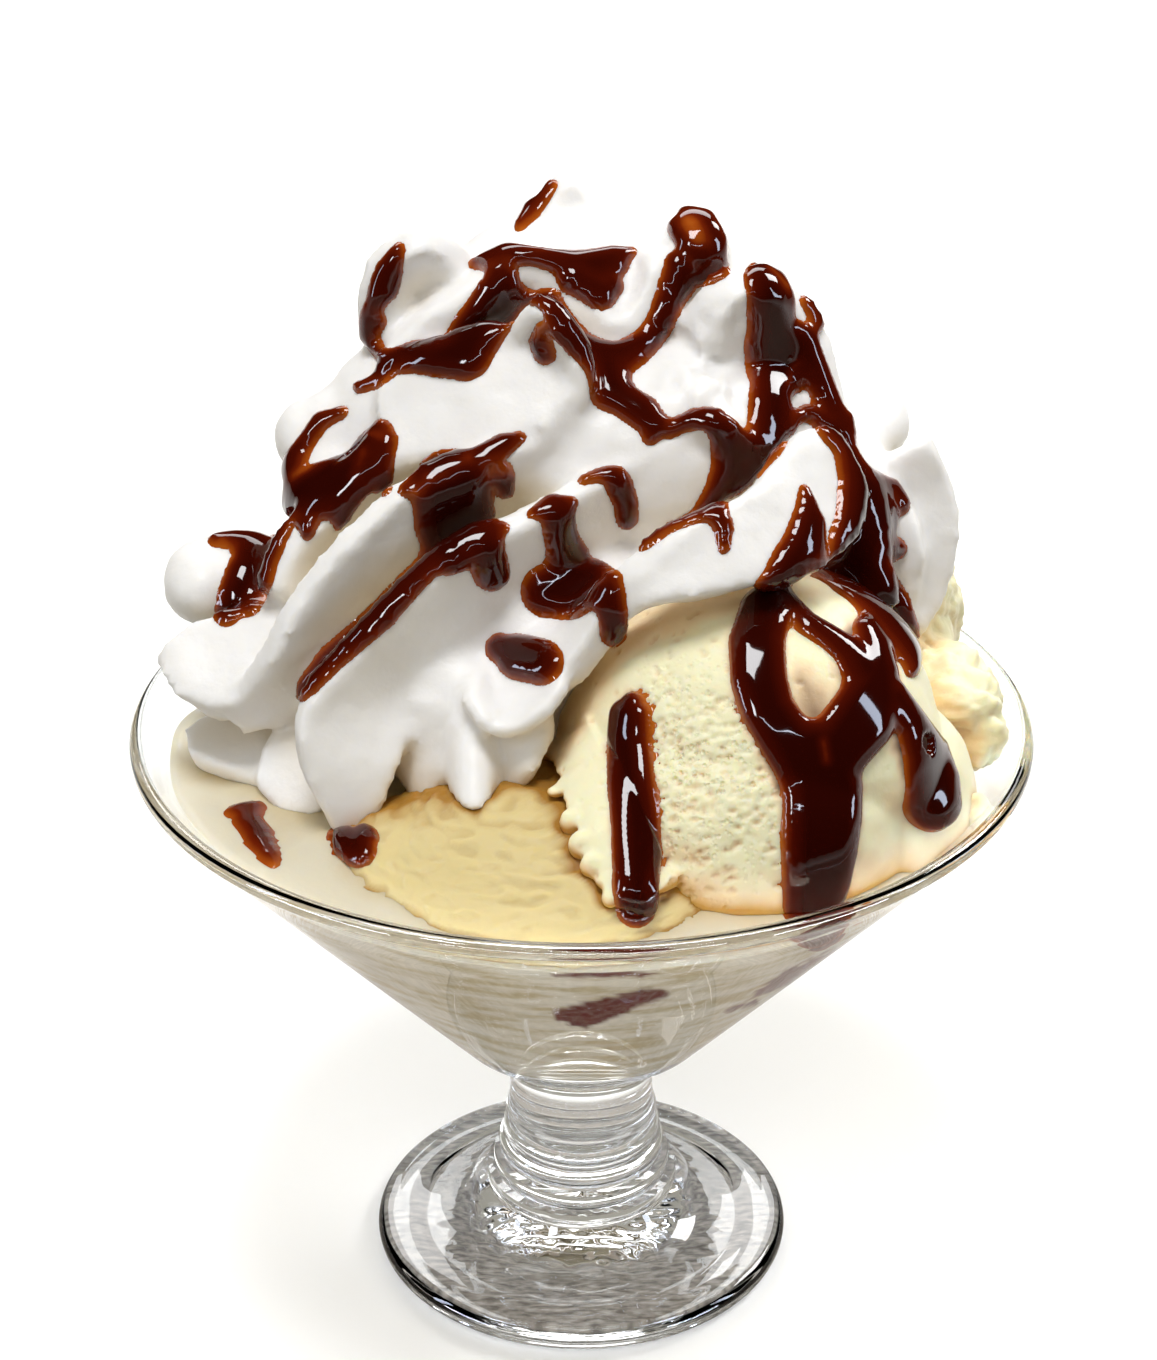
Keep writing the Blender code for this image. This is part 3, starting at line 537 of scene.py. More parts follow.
def grain(points, across, along=None, seed=0.0):
    """Smooth noise at each point, as wide and as high as the sizes in millimetres say."""
    along = along or across
    scale = Vector((1 / (across * MM), 1 / (across * MM), 1 / (along * MM)))
    return np.array([noise.noise(Vector(p) * scale + Vector((seed, seed * 2, -seed))) for p in points])


def gathered(across, down, place, spread):
    """From 1 at a place in the picture frame to 0 well beyond its spread."""
    return np.exp(-(((across - place[0]) / spread[0]) ** 2) - ((down - place[1]) / spread[1]) ** 2)


# The glass


def outer_wall(height):
    """The outer radius of the glass's cone at a height."""
    low_radius, low = CONE_FOOT
    high_radius, high = RIM_RADIUS - RIM_BEAD, RIM_HEIGHT - 2 * RIM_BEAD
    return low_radius + (height - low) * (high_radius - low_radius) / (high - low)


def inner_wall(height):
    """The inner radius of the glass's cone at a height."""
    low_radius, low = CONE_FOOT
    slope = math.atan2(RIM_HEIGHT - 2 * RIM_BEAD - low, RIM_RADIUS - RIM_BEAD - low_radius)
    return outer_wall(height) - WALL / math.sin(slope)


def arc(centre, radius, start, end, count):
    """Points on an arc in the profile's plane, from one angle in degrees to another."""
    turns = [math.radians(start + (end - start) * i / (count - 1)) for i in range(count)]
    return [(centre[0] + radius * math.cos(a), centre[1] + radius * math.sin(a)) for a in turns]


def rounded(points, count):
    """A smooth stretch of the profile through the given points."""
    return [tuple(p) for p in smooth_path([Vector(p) for p in points], count)]


def coupe_profile():
    """The coupe's half section: up the inside, over the rim, and down the outside to the foot."""
    well = inner_wall(WELL_EDGE)
    inside = rounded([(0.0, WELL_HEIGHT), (well * 0.6, WELL_HEIGHT + 0.5), (well, WELL_EDGE)], 9)
    inside += [(inner_wall(h), h) for h in (45.0, 52.0, 60.0, 67.0, 75.0, RIM_HEIGHT - 3.2)]
    rim = arc((RIM_RADIUS - RIM_BEAD, RIM_HEIGHT - RIM_BEAD), RIM_BEAD, 150, -60, 15)
    outside = [(outer_wall(h), h) for h in (RIM_HEIGHT - 4.0, 75.0, 67.0, 60.0, 52.0, 45.0)]
    neck = [CONE_FOOT, (14.0, 33.2), (11.6, 30.6), (NECK_RADIUS + 0.2, 28.0), (NECK_RADIUS, STEM_TOP)]
    neck = rounded([*neck, (10.2, 23.0)], 22)
    rings = []
    for i in range(STEM_RINGS):
        height = STEM_TOP - 3.0 - i * RING_PITCH
        radius = NECK_RADIUS + 0.3 + 0.14 * (i + 1) ** 1.9
        for k in range(8):
            bulge = RING_DEPTH * math.sin(math.pi * (k + 0.5) / 8) ** 0.7
            rings.append((radius + bulge, height - RING_PITCH * (k + 0.5) / 8))
    foot = rounded([rings[-1], (15.6, 7.0), (18.5, 5.4), (23.0, 4.3), (FOOT_RADIUS - 3.0, 3.9)], 14)[1:]
    edge = arc((FOOT_RADIUS - 1.8, 1.9), 1.8, 100, -80, 12)
    hollow = [(FOOT_RADIUS - 2.2, 0.0), (23.5, 0.0), (22.6, 0.7)]
    hollow += [(r, 1.6 - 0.8 * (r / 22.0) ** 2) for r in np.arange(21.8, 0.5, -0.8)] + [(0.0, 1.6)]
    return inside + rim + outside + neck + rings + foot + edge + hollow


def make_coupe():
    """The coupe, turned about its axis from a line drawn vertex by vertex."""
    profile = coupe_profile()
    bpy.ops.object.select_all(action="DESELECT")
    bpy.ops.mesh.primitive_plane_add(size=MM)
    coupe = bpy.context.object
    coupe.name = "coupe_glass"
    bpy.ops.object.mode_set(mode="EDIT")
    bpy.ops.mesh.select_all(action="SELECT")
    bpy.ops.mesh.merge(type="CENTER")
    bpy.ops.transform.translate(value=(profile[0][0] * MM, 0.0, profile[0][1] * MM))
    for (r0, z0), (r1, z1) in zip(profile, profile[1:]):
        step = ((r1 - r0) * MM, 0.0, (z1 - z0) * MM)
        bpy.ops.mesh.extrude_vertices_move(TRANSFORM_OT_translate={"value": step})
    bpy.ops.mesh.select_all(action="SELECT")
    bpy.ops.mesh.spin(steps=GLASS_STEPS, angle=math.tau, center=(0, 0, 0), axis=(0, 0, 1))
    bpy.ops.mesh.select_all(action="SELECT")
    bpy.ops.mesh.remove_doubles(threshold=0.000005)
    bpy.ops.mesh.normals_make_consistent(inside=False)
    bpy.ops.object.mode_set(mode="OBJECT")
    for vert in coupe.data.vertices:
        spot = vert.co / MM
        if 0.5 < spot.z < 1.7 and math.hypot(spot.x, spot.y) < 22.0:
            ripple = noise.noise(Vector((spot.x / 2.6, spot.y / 1.3, 0.0)))
            ripple += 0.5 * noise.noise(spot / 0.9)
            vert.co.z += FOOT_RIPPLE * ripple * MM
    only(coupe)
    bpy.ops.object.shade_smooth_by_angle(angle=math.radians(50))
    return coupe


# The cream


def ball(name, centre, radii, level=5):
    """A rounded body of the given radii."""
    bpy.ops.object.select_all(action="DESELECT")
    place = Vector(centre) * MM
    bpy.ops.mesh.primitive_ico_sphere_add(subdivisions=level, radius=MM, location=place, scale=radii)
    shape = bpy.context.object
    shape.name = name
    return placed(shape)


def far_side(point):
    """Where a point of a near fold goes on the far side."""
    rise = point.z - FAR_LOW
    relief = max(point.y - (NEAR_DEPTH + NEAR_LEAN * rise**2), -FAR_PROUD)
    return Vector((point.x * FAR_WIDTH, FAR_DEPTH - relief, FAR_LOW + rise * FAR_HEIGHT))


def sheet(name, strips, weights, thickness):
    """A sheet over strips of points, whose thickness at each point of a strip goes by its weight."""
    shape = bmesh.new()
    made = [[shape.verts.new(point) for point in strip] for strip in strips]
    for one, two in zip(made, made[1:]):
        for j in range(len(one) - 1):
            shape.faces.new((one[j], one[j + 1], two[j + 1], two[j]))
    obj = new_object(name, shape)
    group = obj.vertex_groups.new(name="thickness")
    for j, weight in enumerate(weights):
        group.add(list(range(j, len(obj.data.vertices), len(weights))), weight, "REPLACE")
    solid = obj.modifiers.new("Thickness", "SOLIDIFY")
    solid.thickness = thickness * MM
    solid.offset = 0.0
    solid.vertex_group = group.name
    apply_modifiers(obj)
    return obj


def fold(name, outer, inner, thickness, far=False, long_cuts=48, cross_cuts=9):
    """A sheet of cream between two edges, thick at the inner one and thin at the outer one."""

    def place(point):
        spot = seen(*point)
        return far_side(spot) if far else spot

    outer_path = smooth_path([place(p) for p in outer], long_cuts)
    inner_path = smooth_path([place(p) for p in inner], long_cuts)
    shares = [j / (cross_cuts - 1) for j in range(cross_cuts)]
    strips = [[a.lerp(b, share) for share in shares] for a, b in zip(outer_path, inner_path)]
    return sheet(name, strips, [0.5 + 0.5 * share for share in shares], thickness)


def melted(obj, voxel, rounds):
    """Melts an object's shapes into one skin and softens it."""
    melt = obj.modifiers.new("Melt", "REMESH")
    melt.mode = "VOXEL"
    melt.voxel_size = voxel * MM
    soften = obj.modifiers.new("Soften", "SMOOTH")
    soften.factor = 0.5
    soften.iterations = rounds
    apply_modifiers(obj)
    return obj


def bodies_of(shape):
    """The bmesh's separate bodies, each a set of vertices."""
    left = set(shape.verts)
    bodies = []
    while left:
        stack = [left.pop()]
        body = set(stack)
        while stack:
            for edge in stack.pop().link_edges:
                for vert in edge.verts:
                    if vert not in body:
                        body.add(vert)
                        left.discard(vert)
                        stack.append(vert)
        bodies.append(body)
    return bodies


def largest_body(obj):
    """Keeps the object's largest closed body and drops loose scraps."""
    shape = bmesh.new()
    shape.from_mesh(obj.data)
    keep = max(bodies_of(shape), key=len)
    bmesh.ops.delete(shape, geom=[v for v in shape.verts if v not in keep], context="VERTS")
    shape.to_mesh(obj.data)
    shape.free()
    return obj


def drop_scraps(obj, least):
    """Drops the object's bodies that have fewer vertices than the least."""
    shape = bmesh.new()
    shape.from_mesh(obj.data)
    scraps = [vert for body in bodies_of(shape) if len(body) < least for vert in body]
    bmesh.ops.delete(shape, geom=scraps, context="VERTS")
    shape.to_mesh(obj.data)
    shape.free()


def make_cream():
    """The piled cream: a body, its folds and its lobes melted into one skin, a little uneven all over."""
    shapes = [ball("core", centre, radii) for centre, radii in CREAM_CORE]
    shapes += [fold(name, outer, inner, thick) for name, (outer, inner, thick) in FOLDS.items()]
    shapes += [fold(name, outer, inner, thick, True) for name, (outer, inner, thick) in FOLDS.items()]
    shapes += [ball(name, seen(*place), radii) for name, (place, radii) in LOBES.items()]
    cream = joined("piped_cream", shapes)
    melted(cream, 0.87, 6)
    largest_body(cream)
    points, normals = rows(cream)
    life = 0.3 * grain(points, 6.0) + 0.13 * grain(points, 2.2, seed=4.0)
    across, down, _ = picture_place(points)
    rise = gathered(across, down, ROUGH_RISE, ROUGH_RISE_SPREAD) * (normals[:, 1] < 0.2)
    rough = 2.42 * np.abs(grain(points, 5.0, 3.4, seed=11.0)) + 0.5 * grain(points, 2.0, seed=14.0) - 0.9
    life += rise * rough
    set_rows(cream, points + normals * (life * MM)[:, None])
    return cream


# The ice cream


def fill_level(turn):
    """The fill's height along the wall at a turn from the front, in radians."""
    place = turn / math.tau * len(FILL_AT_WALL)
    k = int(place) % len(FILL_AT_WALL)
    share = (1.0 - math.cos((place - int(place)) * math.pi)) / 2
    return FILL_AT_WALL[k] * (1 - share) + FILL_AT_WALL[(k + 1) % len(FILL_AT_WALL)] * share


def make_fill():
    """The ice cream that fills the cone, from the well to its uneven top, just into the wall."""
    turns, rings, sides = 420, 36, 72
    shape = bmesh.new()
    top = shape.verts.new((0.0, 0.0, FILL_MIDDLE))
    low = shape.verts.new((0.0, 0.0, WELL_HEIGHT - 0.05))
    strips = []
    for i in range(turns):
        turn = math.tau * i / turns
        way = Vector((math.sin(turn), -math.cos(turn), 0.0))
        level = fill_level(turn) + 0.7 * noise.noise(way * 3.0)
        edge = inner_wall(level) + 0.05
        strip = []
        for j in range(1, rings + 1):
            share = j / rings
            height = level + (FILL_MIDDLE - level) * (1 - share**2)
            spot = way * edge * share
            height += (1.2 * noise.noise(spot / 9.0) + 0.5 * noise.noise(spot / 3.0)) * (1 - share**8)
            strip.append(shape.verts.new(spot + Vector((0, 0, height))))
        for j in range(1, sides + 1):
            height = level + (WELL_EDGE - level) * j / sides
            strip.append(shape.verts.new(way * (inner_wall(height) + 0.05) + Vector((0, 0, height))))
        strips.append(strip)
    for one, two in zip(strips, strips[1:] + strips[:1]):
        shape.faces.new((top, one[0], two[0]))
        for j in range(len(one) - 1):
            shape.faces.new((one[j], one[j + 1], two[j + 1], two[j]))
        shape.faces.new((low, two[-1], one[-1]))
    bmesh.ops.recalc_face_normals(shape, faces=shape.faces)
    return new_object("cone_fill", shape)


def pressed(obj):
    """Holds the object inside the glass: just into its wall above the fill, and short of it below."""
    for vert in obj.data.vertices:
        height = max(vert.co.z / MM, WELL_EDGE)
        vert.co.z = height * MM
        reach = math.hypot(vert.co.x, vert.co.y) / MM
        level = fill_level(math.atan2(vert.co.x, -vert.co.y) % math.tau)
        most = inner_wall(height) + (0.05 if height > level - 0.8 else -0.6)
        if height > RIM_HEIGHT - 1.0:
            most = RIM_RADIUS - 2.0
        if reach > most:
            vert.co.x *= most / reach
            vert.co.y *= most / reach
    return obj


def hit(tree, px, py):
    """The first point that the picture place (px, py) shows on the tree's faces, in millimetres."""
    far = seen(px, py, 60.0)
    place = tree.ray_cast(EYE * MM, (far - EYE).normalized())[0]
    return place / MM if place else far


def make_scoop(node, name, voxel, more=()):
    """A scoop's lumps and any more shapes melted together."""
    lumps = [ball(name, centre, radii) for centre, radii in SCOOPS[node]]
    scoop = joined(name, lumps + list(more))
    return melted(scoop, voxel, 3)


def torn_skirt(tree):
    """The ragged skirt that hangs from the large scoop over what lies under it."""
    count, cross_cuts = 150, 7
    outer = smooth_path([Vector(p) for p in TORN_EDGE], count)
    inner = smooth_path([Vector(p) for p in TORN_ROOT], count)
    shares = [j / (cross_cuts - 1) for j in range(cross_cuts)]
    strips = []
    for i, (edge, root) in enumerate(zip(outer, inner)):
        spot = Vector((i * 0.17, 3.0, 0.0))
        teeth = 11.0 * noise.noise(spot * 1.15) * (0.25 + 1.5 * abs(noise.noise(spot * 0.4)))
        ragged = 4.0 * noise.noise(spot * 0.3) + teeth + 4.0 * noise.noise(spot * 3.1)
        edge = edge + (edge - root).normalized() * ragged
        low = hit(tree, edge.x, edge.y)
        high = hit(tree, root.x, root.y)
        low += (EYE - low).normalized() * 1.6
        high -= (EYE - high).normalized() * 0.6
        out = (EYE - low).normalized()
        strips.append([low.lerp(high, share) + out * math.sin(math.pi * share) for share in shares])
    return sheet("torn_skirt", strips, [0.4 + 0.6 * share for share in shares], TORN_THICKNESS)


def bits(tree, places):
    """Broken bits of ice cream, uneven and a little sunk into what they lie on."""
    made = []
    for i, (px, py, out, radius) in enumerate(places):
        spot = hit(tree, px, py)
        spot += (EYE - spot).normalized() * out
        turn = noise.noise_vector(Vector((i * 1.7, 0.0, 5.0)))
        radii = [radius * (1.0 + 0.5 * turn[k]) for k in range(3)]
        made.append(ball("bit", spot, radii, 3))
    return made


def pitted(points, normals):
    """The pits that the spade tore in the large scoop: how deep each point lies, in millimetres."""
    across, down, _ = picture_place(points)
    depth = np.zeros(len(points))
    spread = np.random.default_rng(7)
    left, top, right, bottom = PITTED_FRAME
    inside = (across > left) & (across < right) & (down > top) & (down < bottom)
    near = np.nonzero(inside & (normals[:, 1] < 0.1))[0]
    places = points[near] / MM
    made = 0
    while made < PIT_COUNT:
        k = spread.integers(len(near))
        worn = gathered(across[near[k]], down[near[k]], WORN_PLACE, PIT_SPREAD) + 0.008
        if spread.random() > worn:
            continue
        made += 1
        radius = spread.uniform(0.28, 0.55)
        shift = (places - places[k]) / radius
        shift[:, 0] *= spread.uniform(0.55, 1.0)
        pit = np.clip(1.0 - (shift**2).sum(axis=1), 0.0, 1.0)
        depth[near] = np.maximum(depth[near], pit * radius * spread.uniform(0.6, 1.1))
    return depth


def roughened(scoop, pits=False, wrinkles=0.0, lumps=0.5, crumble=0.0):
    """Gives a scoop its surface: lumps, pits where the spade tore it, and wrinkles where it dragged."""
    points, normals = rows(scoop)
    relief = lumps * grain(points, 9.0) + 0.25 * grain(points, 4.0, seed=2.0)
    relief += 0.04 * grain(points, 1.1, seed=5.0)
    if crumble:
        relief += crumble * (1.6 * np.abs(grain(points, 4.5, seed=21.0)) - 0.5)
        relief += crumble * (0.8 * np.abs(grain(points, 1.9, seed=22.0)) - 0.3)
    deep = np.zeros(len(points))
    if pits:
        deep = pitted(points, normals)
    if wrinkles:
        level = points[:, 2] / MM + 1.92 * grain(points, 14.0, seed=8.0)
        drag = 0.5 + 0.5 * np.sin(level * math.tau * 0.5 + 2.5 * grain(points, 6.0, 2.5, seed=1.0))
        torn = ramp(grain(points, 2.6, 0.65, seed=6.0), -0.05, 0.4)
        deep += wrinkles * (0.32 * torn + 0.16 * drag * ramp(grain(points, 10.0, seed=3.0), -0.3, 0.2))
        relief += wrinkles * 0.14 * grain(points, 1.2, 0.6, seed=9.0)
    set_rows(scoop, points + normals * ((relief - deep) * MM)[:, None])
    # Painted shade: how deep each point lies in its pits and wrinkles, so that the material deepens its
    # yellow there.
    attribute(scoop, "pit", np.clip(deep * 1.8, 0.0, 1.0))
    return scoop


def paint_shade(obj, tree, reach, share=1.0, low=0.0, rays=9):
    """Keeps on the mesh, as painted shade for its material, how far each point is shut in by what lies round
    it, and how far it faces down.
    """
    points, normals = rows(obj)
    ways = np.random.default_rng(3).normal(size=(rays, 3))
    ways /= np.linalg.norm(ways, axis=1)[:, None]
    shut = np.zeros(len(points))
    for i in range(len(points)):
        out = Vector(normals[i])
        start = Vector(points[i]) + out * 0.4 * MM
        for way in ways:
            if tree.ray_cast(start, Vector(way) + out * 1.05, reach * MM)[0] is not None:
                shut[i] += 1.0 / rays
    # Painted shade on the sides that face down.
    down = np.clip(0.6 - normals[:, 2], 0.0, 1.2) ** 1.5
    attribute(obj, "shelter", evened(obj, share * shut + low * down, 6))


# The sauce


def stroke_field(across, down, strokes, blend=3.0):
    """How far inside the strokes each picture place is, with soft fillets where they meet."""
    total = np.zeros(len(across))
    for stroke in strokes:
        inside = np.full(len(across), -99.0)
        for (xa, ya, wa), (xb, yb, wb) in zip(stroke, stroke[1:]):
            length = max((xb - xa) ** 2 + (yb - ya) ** 2, 1.0)
            share = np.clip(((across - xa) * (xb - xa) + (down - ya) * (yb - ya)) / length, 0.0, 1.0)
            away = np.hypot(across - xa - share * (xb - xa), down - ya - share * (yb - ya))
            inside = np.maximum(inside, wa + share * (wb - wa) - away)
        total += np.exp(np.clip(inside / blend, -30, 30))
    return blend * np.log(np.maximum(total, 1e-12))


def tree_of(objects, turned=False):
    """One tree of the objects' faces to cast rays at, turned about if asked."""
    whole = bmesh.new()
    for obj in objects:
        whole.from_mesh(obj.data)
    if turned:
        whole.transform(Matrix.Rotation(math.pi, 4, "Z"))
    tree = BVHTree.FromBMesh(whole)
    whole.free()
    return tree


def poured(points, normals, tree, strokes):
    """The stroke field at points, lowered where the eye can't see them."""
    across, down, to_eye = picture_place(points)
    field = stroke_field(across, down, strokes) + SAUCE_SPREAD
    facing = (normals * to_eye).sum(axis=1)
    field -= np.clip(-0.1 - facing, 0.0, 1.0) * 30.0
    hidden = np.zeros(len(points))
    for i in np.nonzero(field > -SAUCE_MARGIN)[0]:
        start = Vector(points[i]) + Vector(normals[i]) * 0.5 * MM
        if tree.ray_cast(start, Vector(to_eye[i]))[0] is not None:
            hidden[i] = 1.0
    return field, hidden


def pour(name, carrier, tree, strokes, turned=False):
    """The sauce that lies on one object: its skin where the strokes fall, raised and rounded."""
    shape = bmesh.new()
    shape.from_mesh(carrier.data)
    skin = new_object(name, shape)
    skin.data.transform(Matrix.Scale(1 / MM, 4))
    keep_faces(skin, field_on(skin, tree, strokes, turned))
    drop_scraps(skin, SAUCE_SCRAP)
    finer = skin.modifiers.new("Finer", "SUBSURF")
    finer.levels = 1
    finer.render_levels = 1
    apply_modifiers(skin)
    field = evened(skin, field_on(skin, tree, strokes, turned), 2)
    points, normals = rows(skin)
    normals = evened(skin, normals, 14)
    normals /= np.maximum(np.linalg.norm(normals, axis=1), 1e-6)[:, None]
    share = np.clip(field / SAUCE_FULL, 0.0, 1.0)
    height = SAUCE_HEIGHT * np.sqrt(np.clip(1.0 - (1.0 - share) ** 2, 0.0, 1.0))
    calm = evened(skin, points, 30)
    hold = ramp(field, 2.0, 8.0)[:, None]
    body = points * (1 - hold) + calm * hold
    sunk = 0.4 * np.clip(-field / 3.0, 0.0, 1.0)
    raised = body + normals * ((height - sunk) * MM)[:, None]
    soft = evened(skin, raised, 3)
    inside = ramp(field, 0.0, 3.0)[:, None]
    set_rows(skin, raised * (1 - inside) + soft * inside)
    across, down, _ = picture_place(points)
    thin = 0.0 if turned else 0.75 * ramp(stroke_field(across, down, THIN), -6.0, 6.0)
    attribute(skin, "depth", evened(skin, share**0.48 * (1.0 - thin), 2))
    wall = skin.modifiers.new("Body", "SOLIDIFY")
    wall.thickness = SAUCE_SKIN * MM
    wall.offset = -1.0
    apply_modifiers(skin)
    return skin


def field_on(skin, tree, strokes, turned):
    """The stroke field for each vertex, seen from the front, or from behind when turned."""
    points, normals = rows(skin)
    turn = np.array([-1.0, -1.0, 1.0]) if turned else np.ones(3)
    field, hidden = poured(points * turn, normals * turn, tree, strokes)
    return field - ramp(evened(skin, hidden, 4), 0.5, 1.0) * 30.0


def keep_faces(skin, field):
    """Drops the faces that no sauce comes near."""
    shape = bmesh.new()
    shape.from_mesh(skin.data)
    shape.verts.ensure_lookup_table()
    away = [f for f in shape.faces if max(field[v.index] for v in f.verts) < -SAUCE_MARGIN]
    bmesh.ops.delete(shape, geom=away, context="FACES")
    loose = [v for v in shape.verts if not v.link_faces]
    bmesh.ops.delete(shape, geom=loose, context="VERTS")
    shape.to_mesh(skin.data)
    shape.free()


def stained(scoop):
    """Keeps on the large scoop where sauce has soaked into it, and where the spade left its finest pits."""
    points, _ = rows(scoop)
    across, down, _ = picture_place(points)
    edge_noise = 5.0 * grain(points, 1.6, seed=12.0)
    soak = ramp(stroke_field(across, down, SOAK) + edge_noise, -6.0, 12.0)
    smear = 0.8 * ramp(stroke_field(across, down, SMEAR) + edge_noise, -16.0, 22.0)
    attribute(scoop, "soak", np.maximum(soak, smear))
    worn = gathered(across, down, WORN_PLACE, FINE_PIT_SPREAD)
    attribute(scoop, "worn", worn * ramp(grain(points, 3.0, seed=17.0), -0.5, 0.3))


def blotted(filling):
    """Keeps on the fill where sauce ran down between it and the glass."""
    points, normals = rows(filling)
    across, down, _ = picture_place(points)
    on_wall = (normals[:, 2] < 0.0) & (points[:, 1] < 0.0)
    blots = stroke_field(across, down, BLOTS) + 3.0 * grain(points, 1.5, seed=2.0)
    attribute(filling, "soak", ramp(blots, -1.5, 2.5) * on_wall)


# Materials


def linear(code):
    """The linear colour of an sRGB hex value."""
    channels = [int(code[i : i + 2], 16) / 255 for i in (1, 3, 5)]
    return (*[c / 12.92 if c <= 0.04045 else ((c + 0.055) / 1.055) ** 2.4 for c in channels], 1.0)


def colour_stops(elements, stops):
    """Gives a colour ramp its stops, each a position and an sRGB hex value, from first to last."""
    for element, (position, code) in ((elements[0], stops[0]), (elements[1], stops[-1])):
        element.position = position
        element.color = linear(code)
    for position, code in stops[1:-1]:
        elements.new(position).color = linear(code)


def add(tree, kind, settings=None, links=None):
    """Adds a node with its settings, by name or by number, and links its inputs to other nodes' outputs."""
    node = tree.nodes.new(kind)
    for name, value in (settings or {}).items():
        if name == "stops":
            colour_stops(node.color_ramp.elements, value)
        elif isinstance(name, int) or (name in node.inputs and not hasattr(node, name)):
            node.inputs[name].default_value = value
        else:
            setattr(node, name, value)
    for name, output in (links or {}).items():
        tree.links.new(output, node.inputs[name])
    return node


def pattern_scale(size):
    """The scale of a texture whose pattern is as large as given, in millimetres."""
    return 1 / (size * MM)


def finish(name, settings):
    """A new material on a Principled shader with the given settings."""
    material = bpy.data.materials.new(name)
    material.use_nodes = True
    shader = material.node_tree.nodes["Principled BSDF"]
    for socket, value in settings.items():
        shader.inputs[socket].default_value = value
    return material, material.node_tree, shader


def pressed_soda_lime_glass():
    """Soda-lime glass, pressed and fire polished: clear, with crisp bright edges and a faint cold tint."""
    material, _, _ = finish("pressed_soda_lime_glass", {
        "Base Color": linear("#fbfdfd"),
        "Roughness": 0.0,
        "IOR": 1.5,
        "Transmission Weight": 1.0,
    })
    return material


def whipped_dairy_cream():
    """Whipped cream, piped: white, with painted shade that makes it warmer deep in its folds, soft inside,
    with a damp low sheen.
    """
    material, tree, shader = finish("whipped_dairy_cream", {
        "Roughness": 0.4,
        "IOR": 1.4,
        "Subsurface Weight": 1.0,
        "Subsurface Radius": (1.0, 0.97, 0.9),
        "Subsurface Scale": 0.6 * MM,
    })
    shader.subsurface_method = "RANDOM_WALK"
    # Painted shade: the cream turns greyer and warmer where it is shut in, deep in its folds.
    shelter = add(tree, "ShaderNodeAttribute", {"attribute_name": "shelter"}).outputs["Fac"]
    white = {"stops": [(0.2, "#f4f3f2"), (0.85, "#e4d9c3")]}
    tone = add(tree, "ShaderNodeValToRGB", white, {"Fac": shelter})
    tree.links.new(tone.outputs["Color"], shader.inputs["Base Color"])
    place = add(tree, "ShaderNodeTexCoord").outputs["Object"]
    size = {"Scale": pattern_scale(CREAM_FROTH), "Detail": 3.0}
    froth = add(tree, "ShaderNodeTexNoise", size, {"Vector": place}).outputs["Fac"]
    bump = add(tree, "ShaderNodeBump", {"Strength": 0.3, "Distance": 0.25 * MM}, {"Height": froth})
    tree.links.new(bump.outputs["Normal"], shader.inputs["Normal"])
    return material


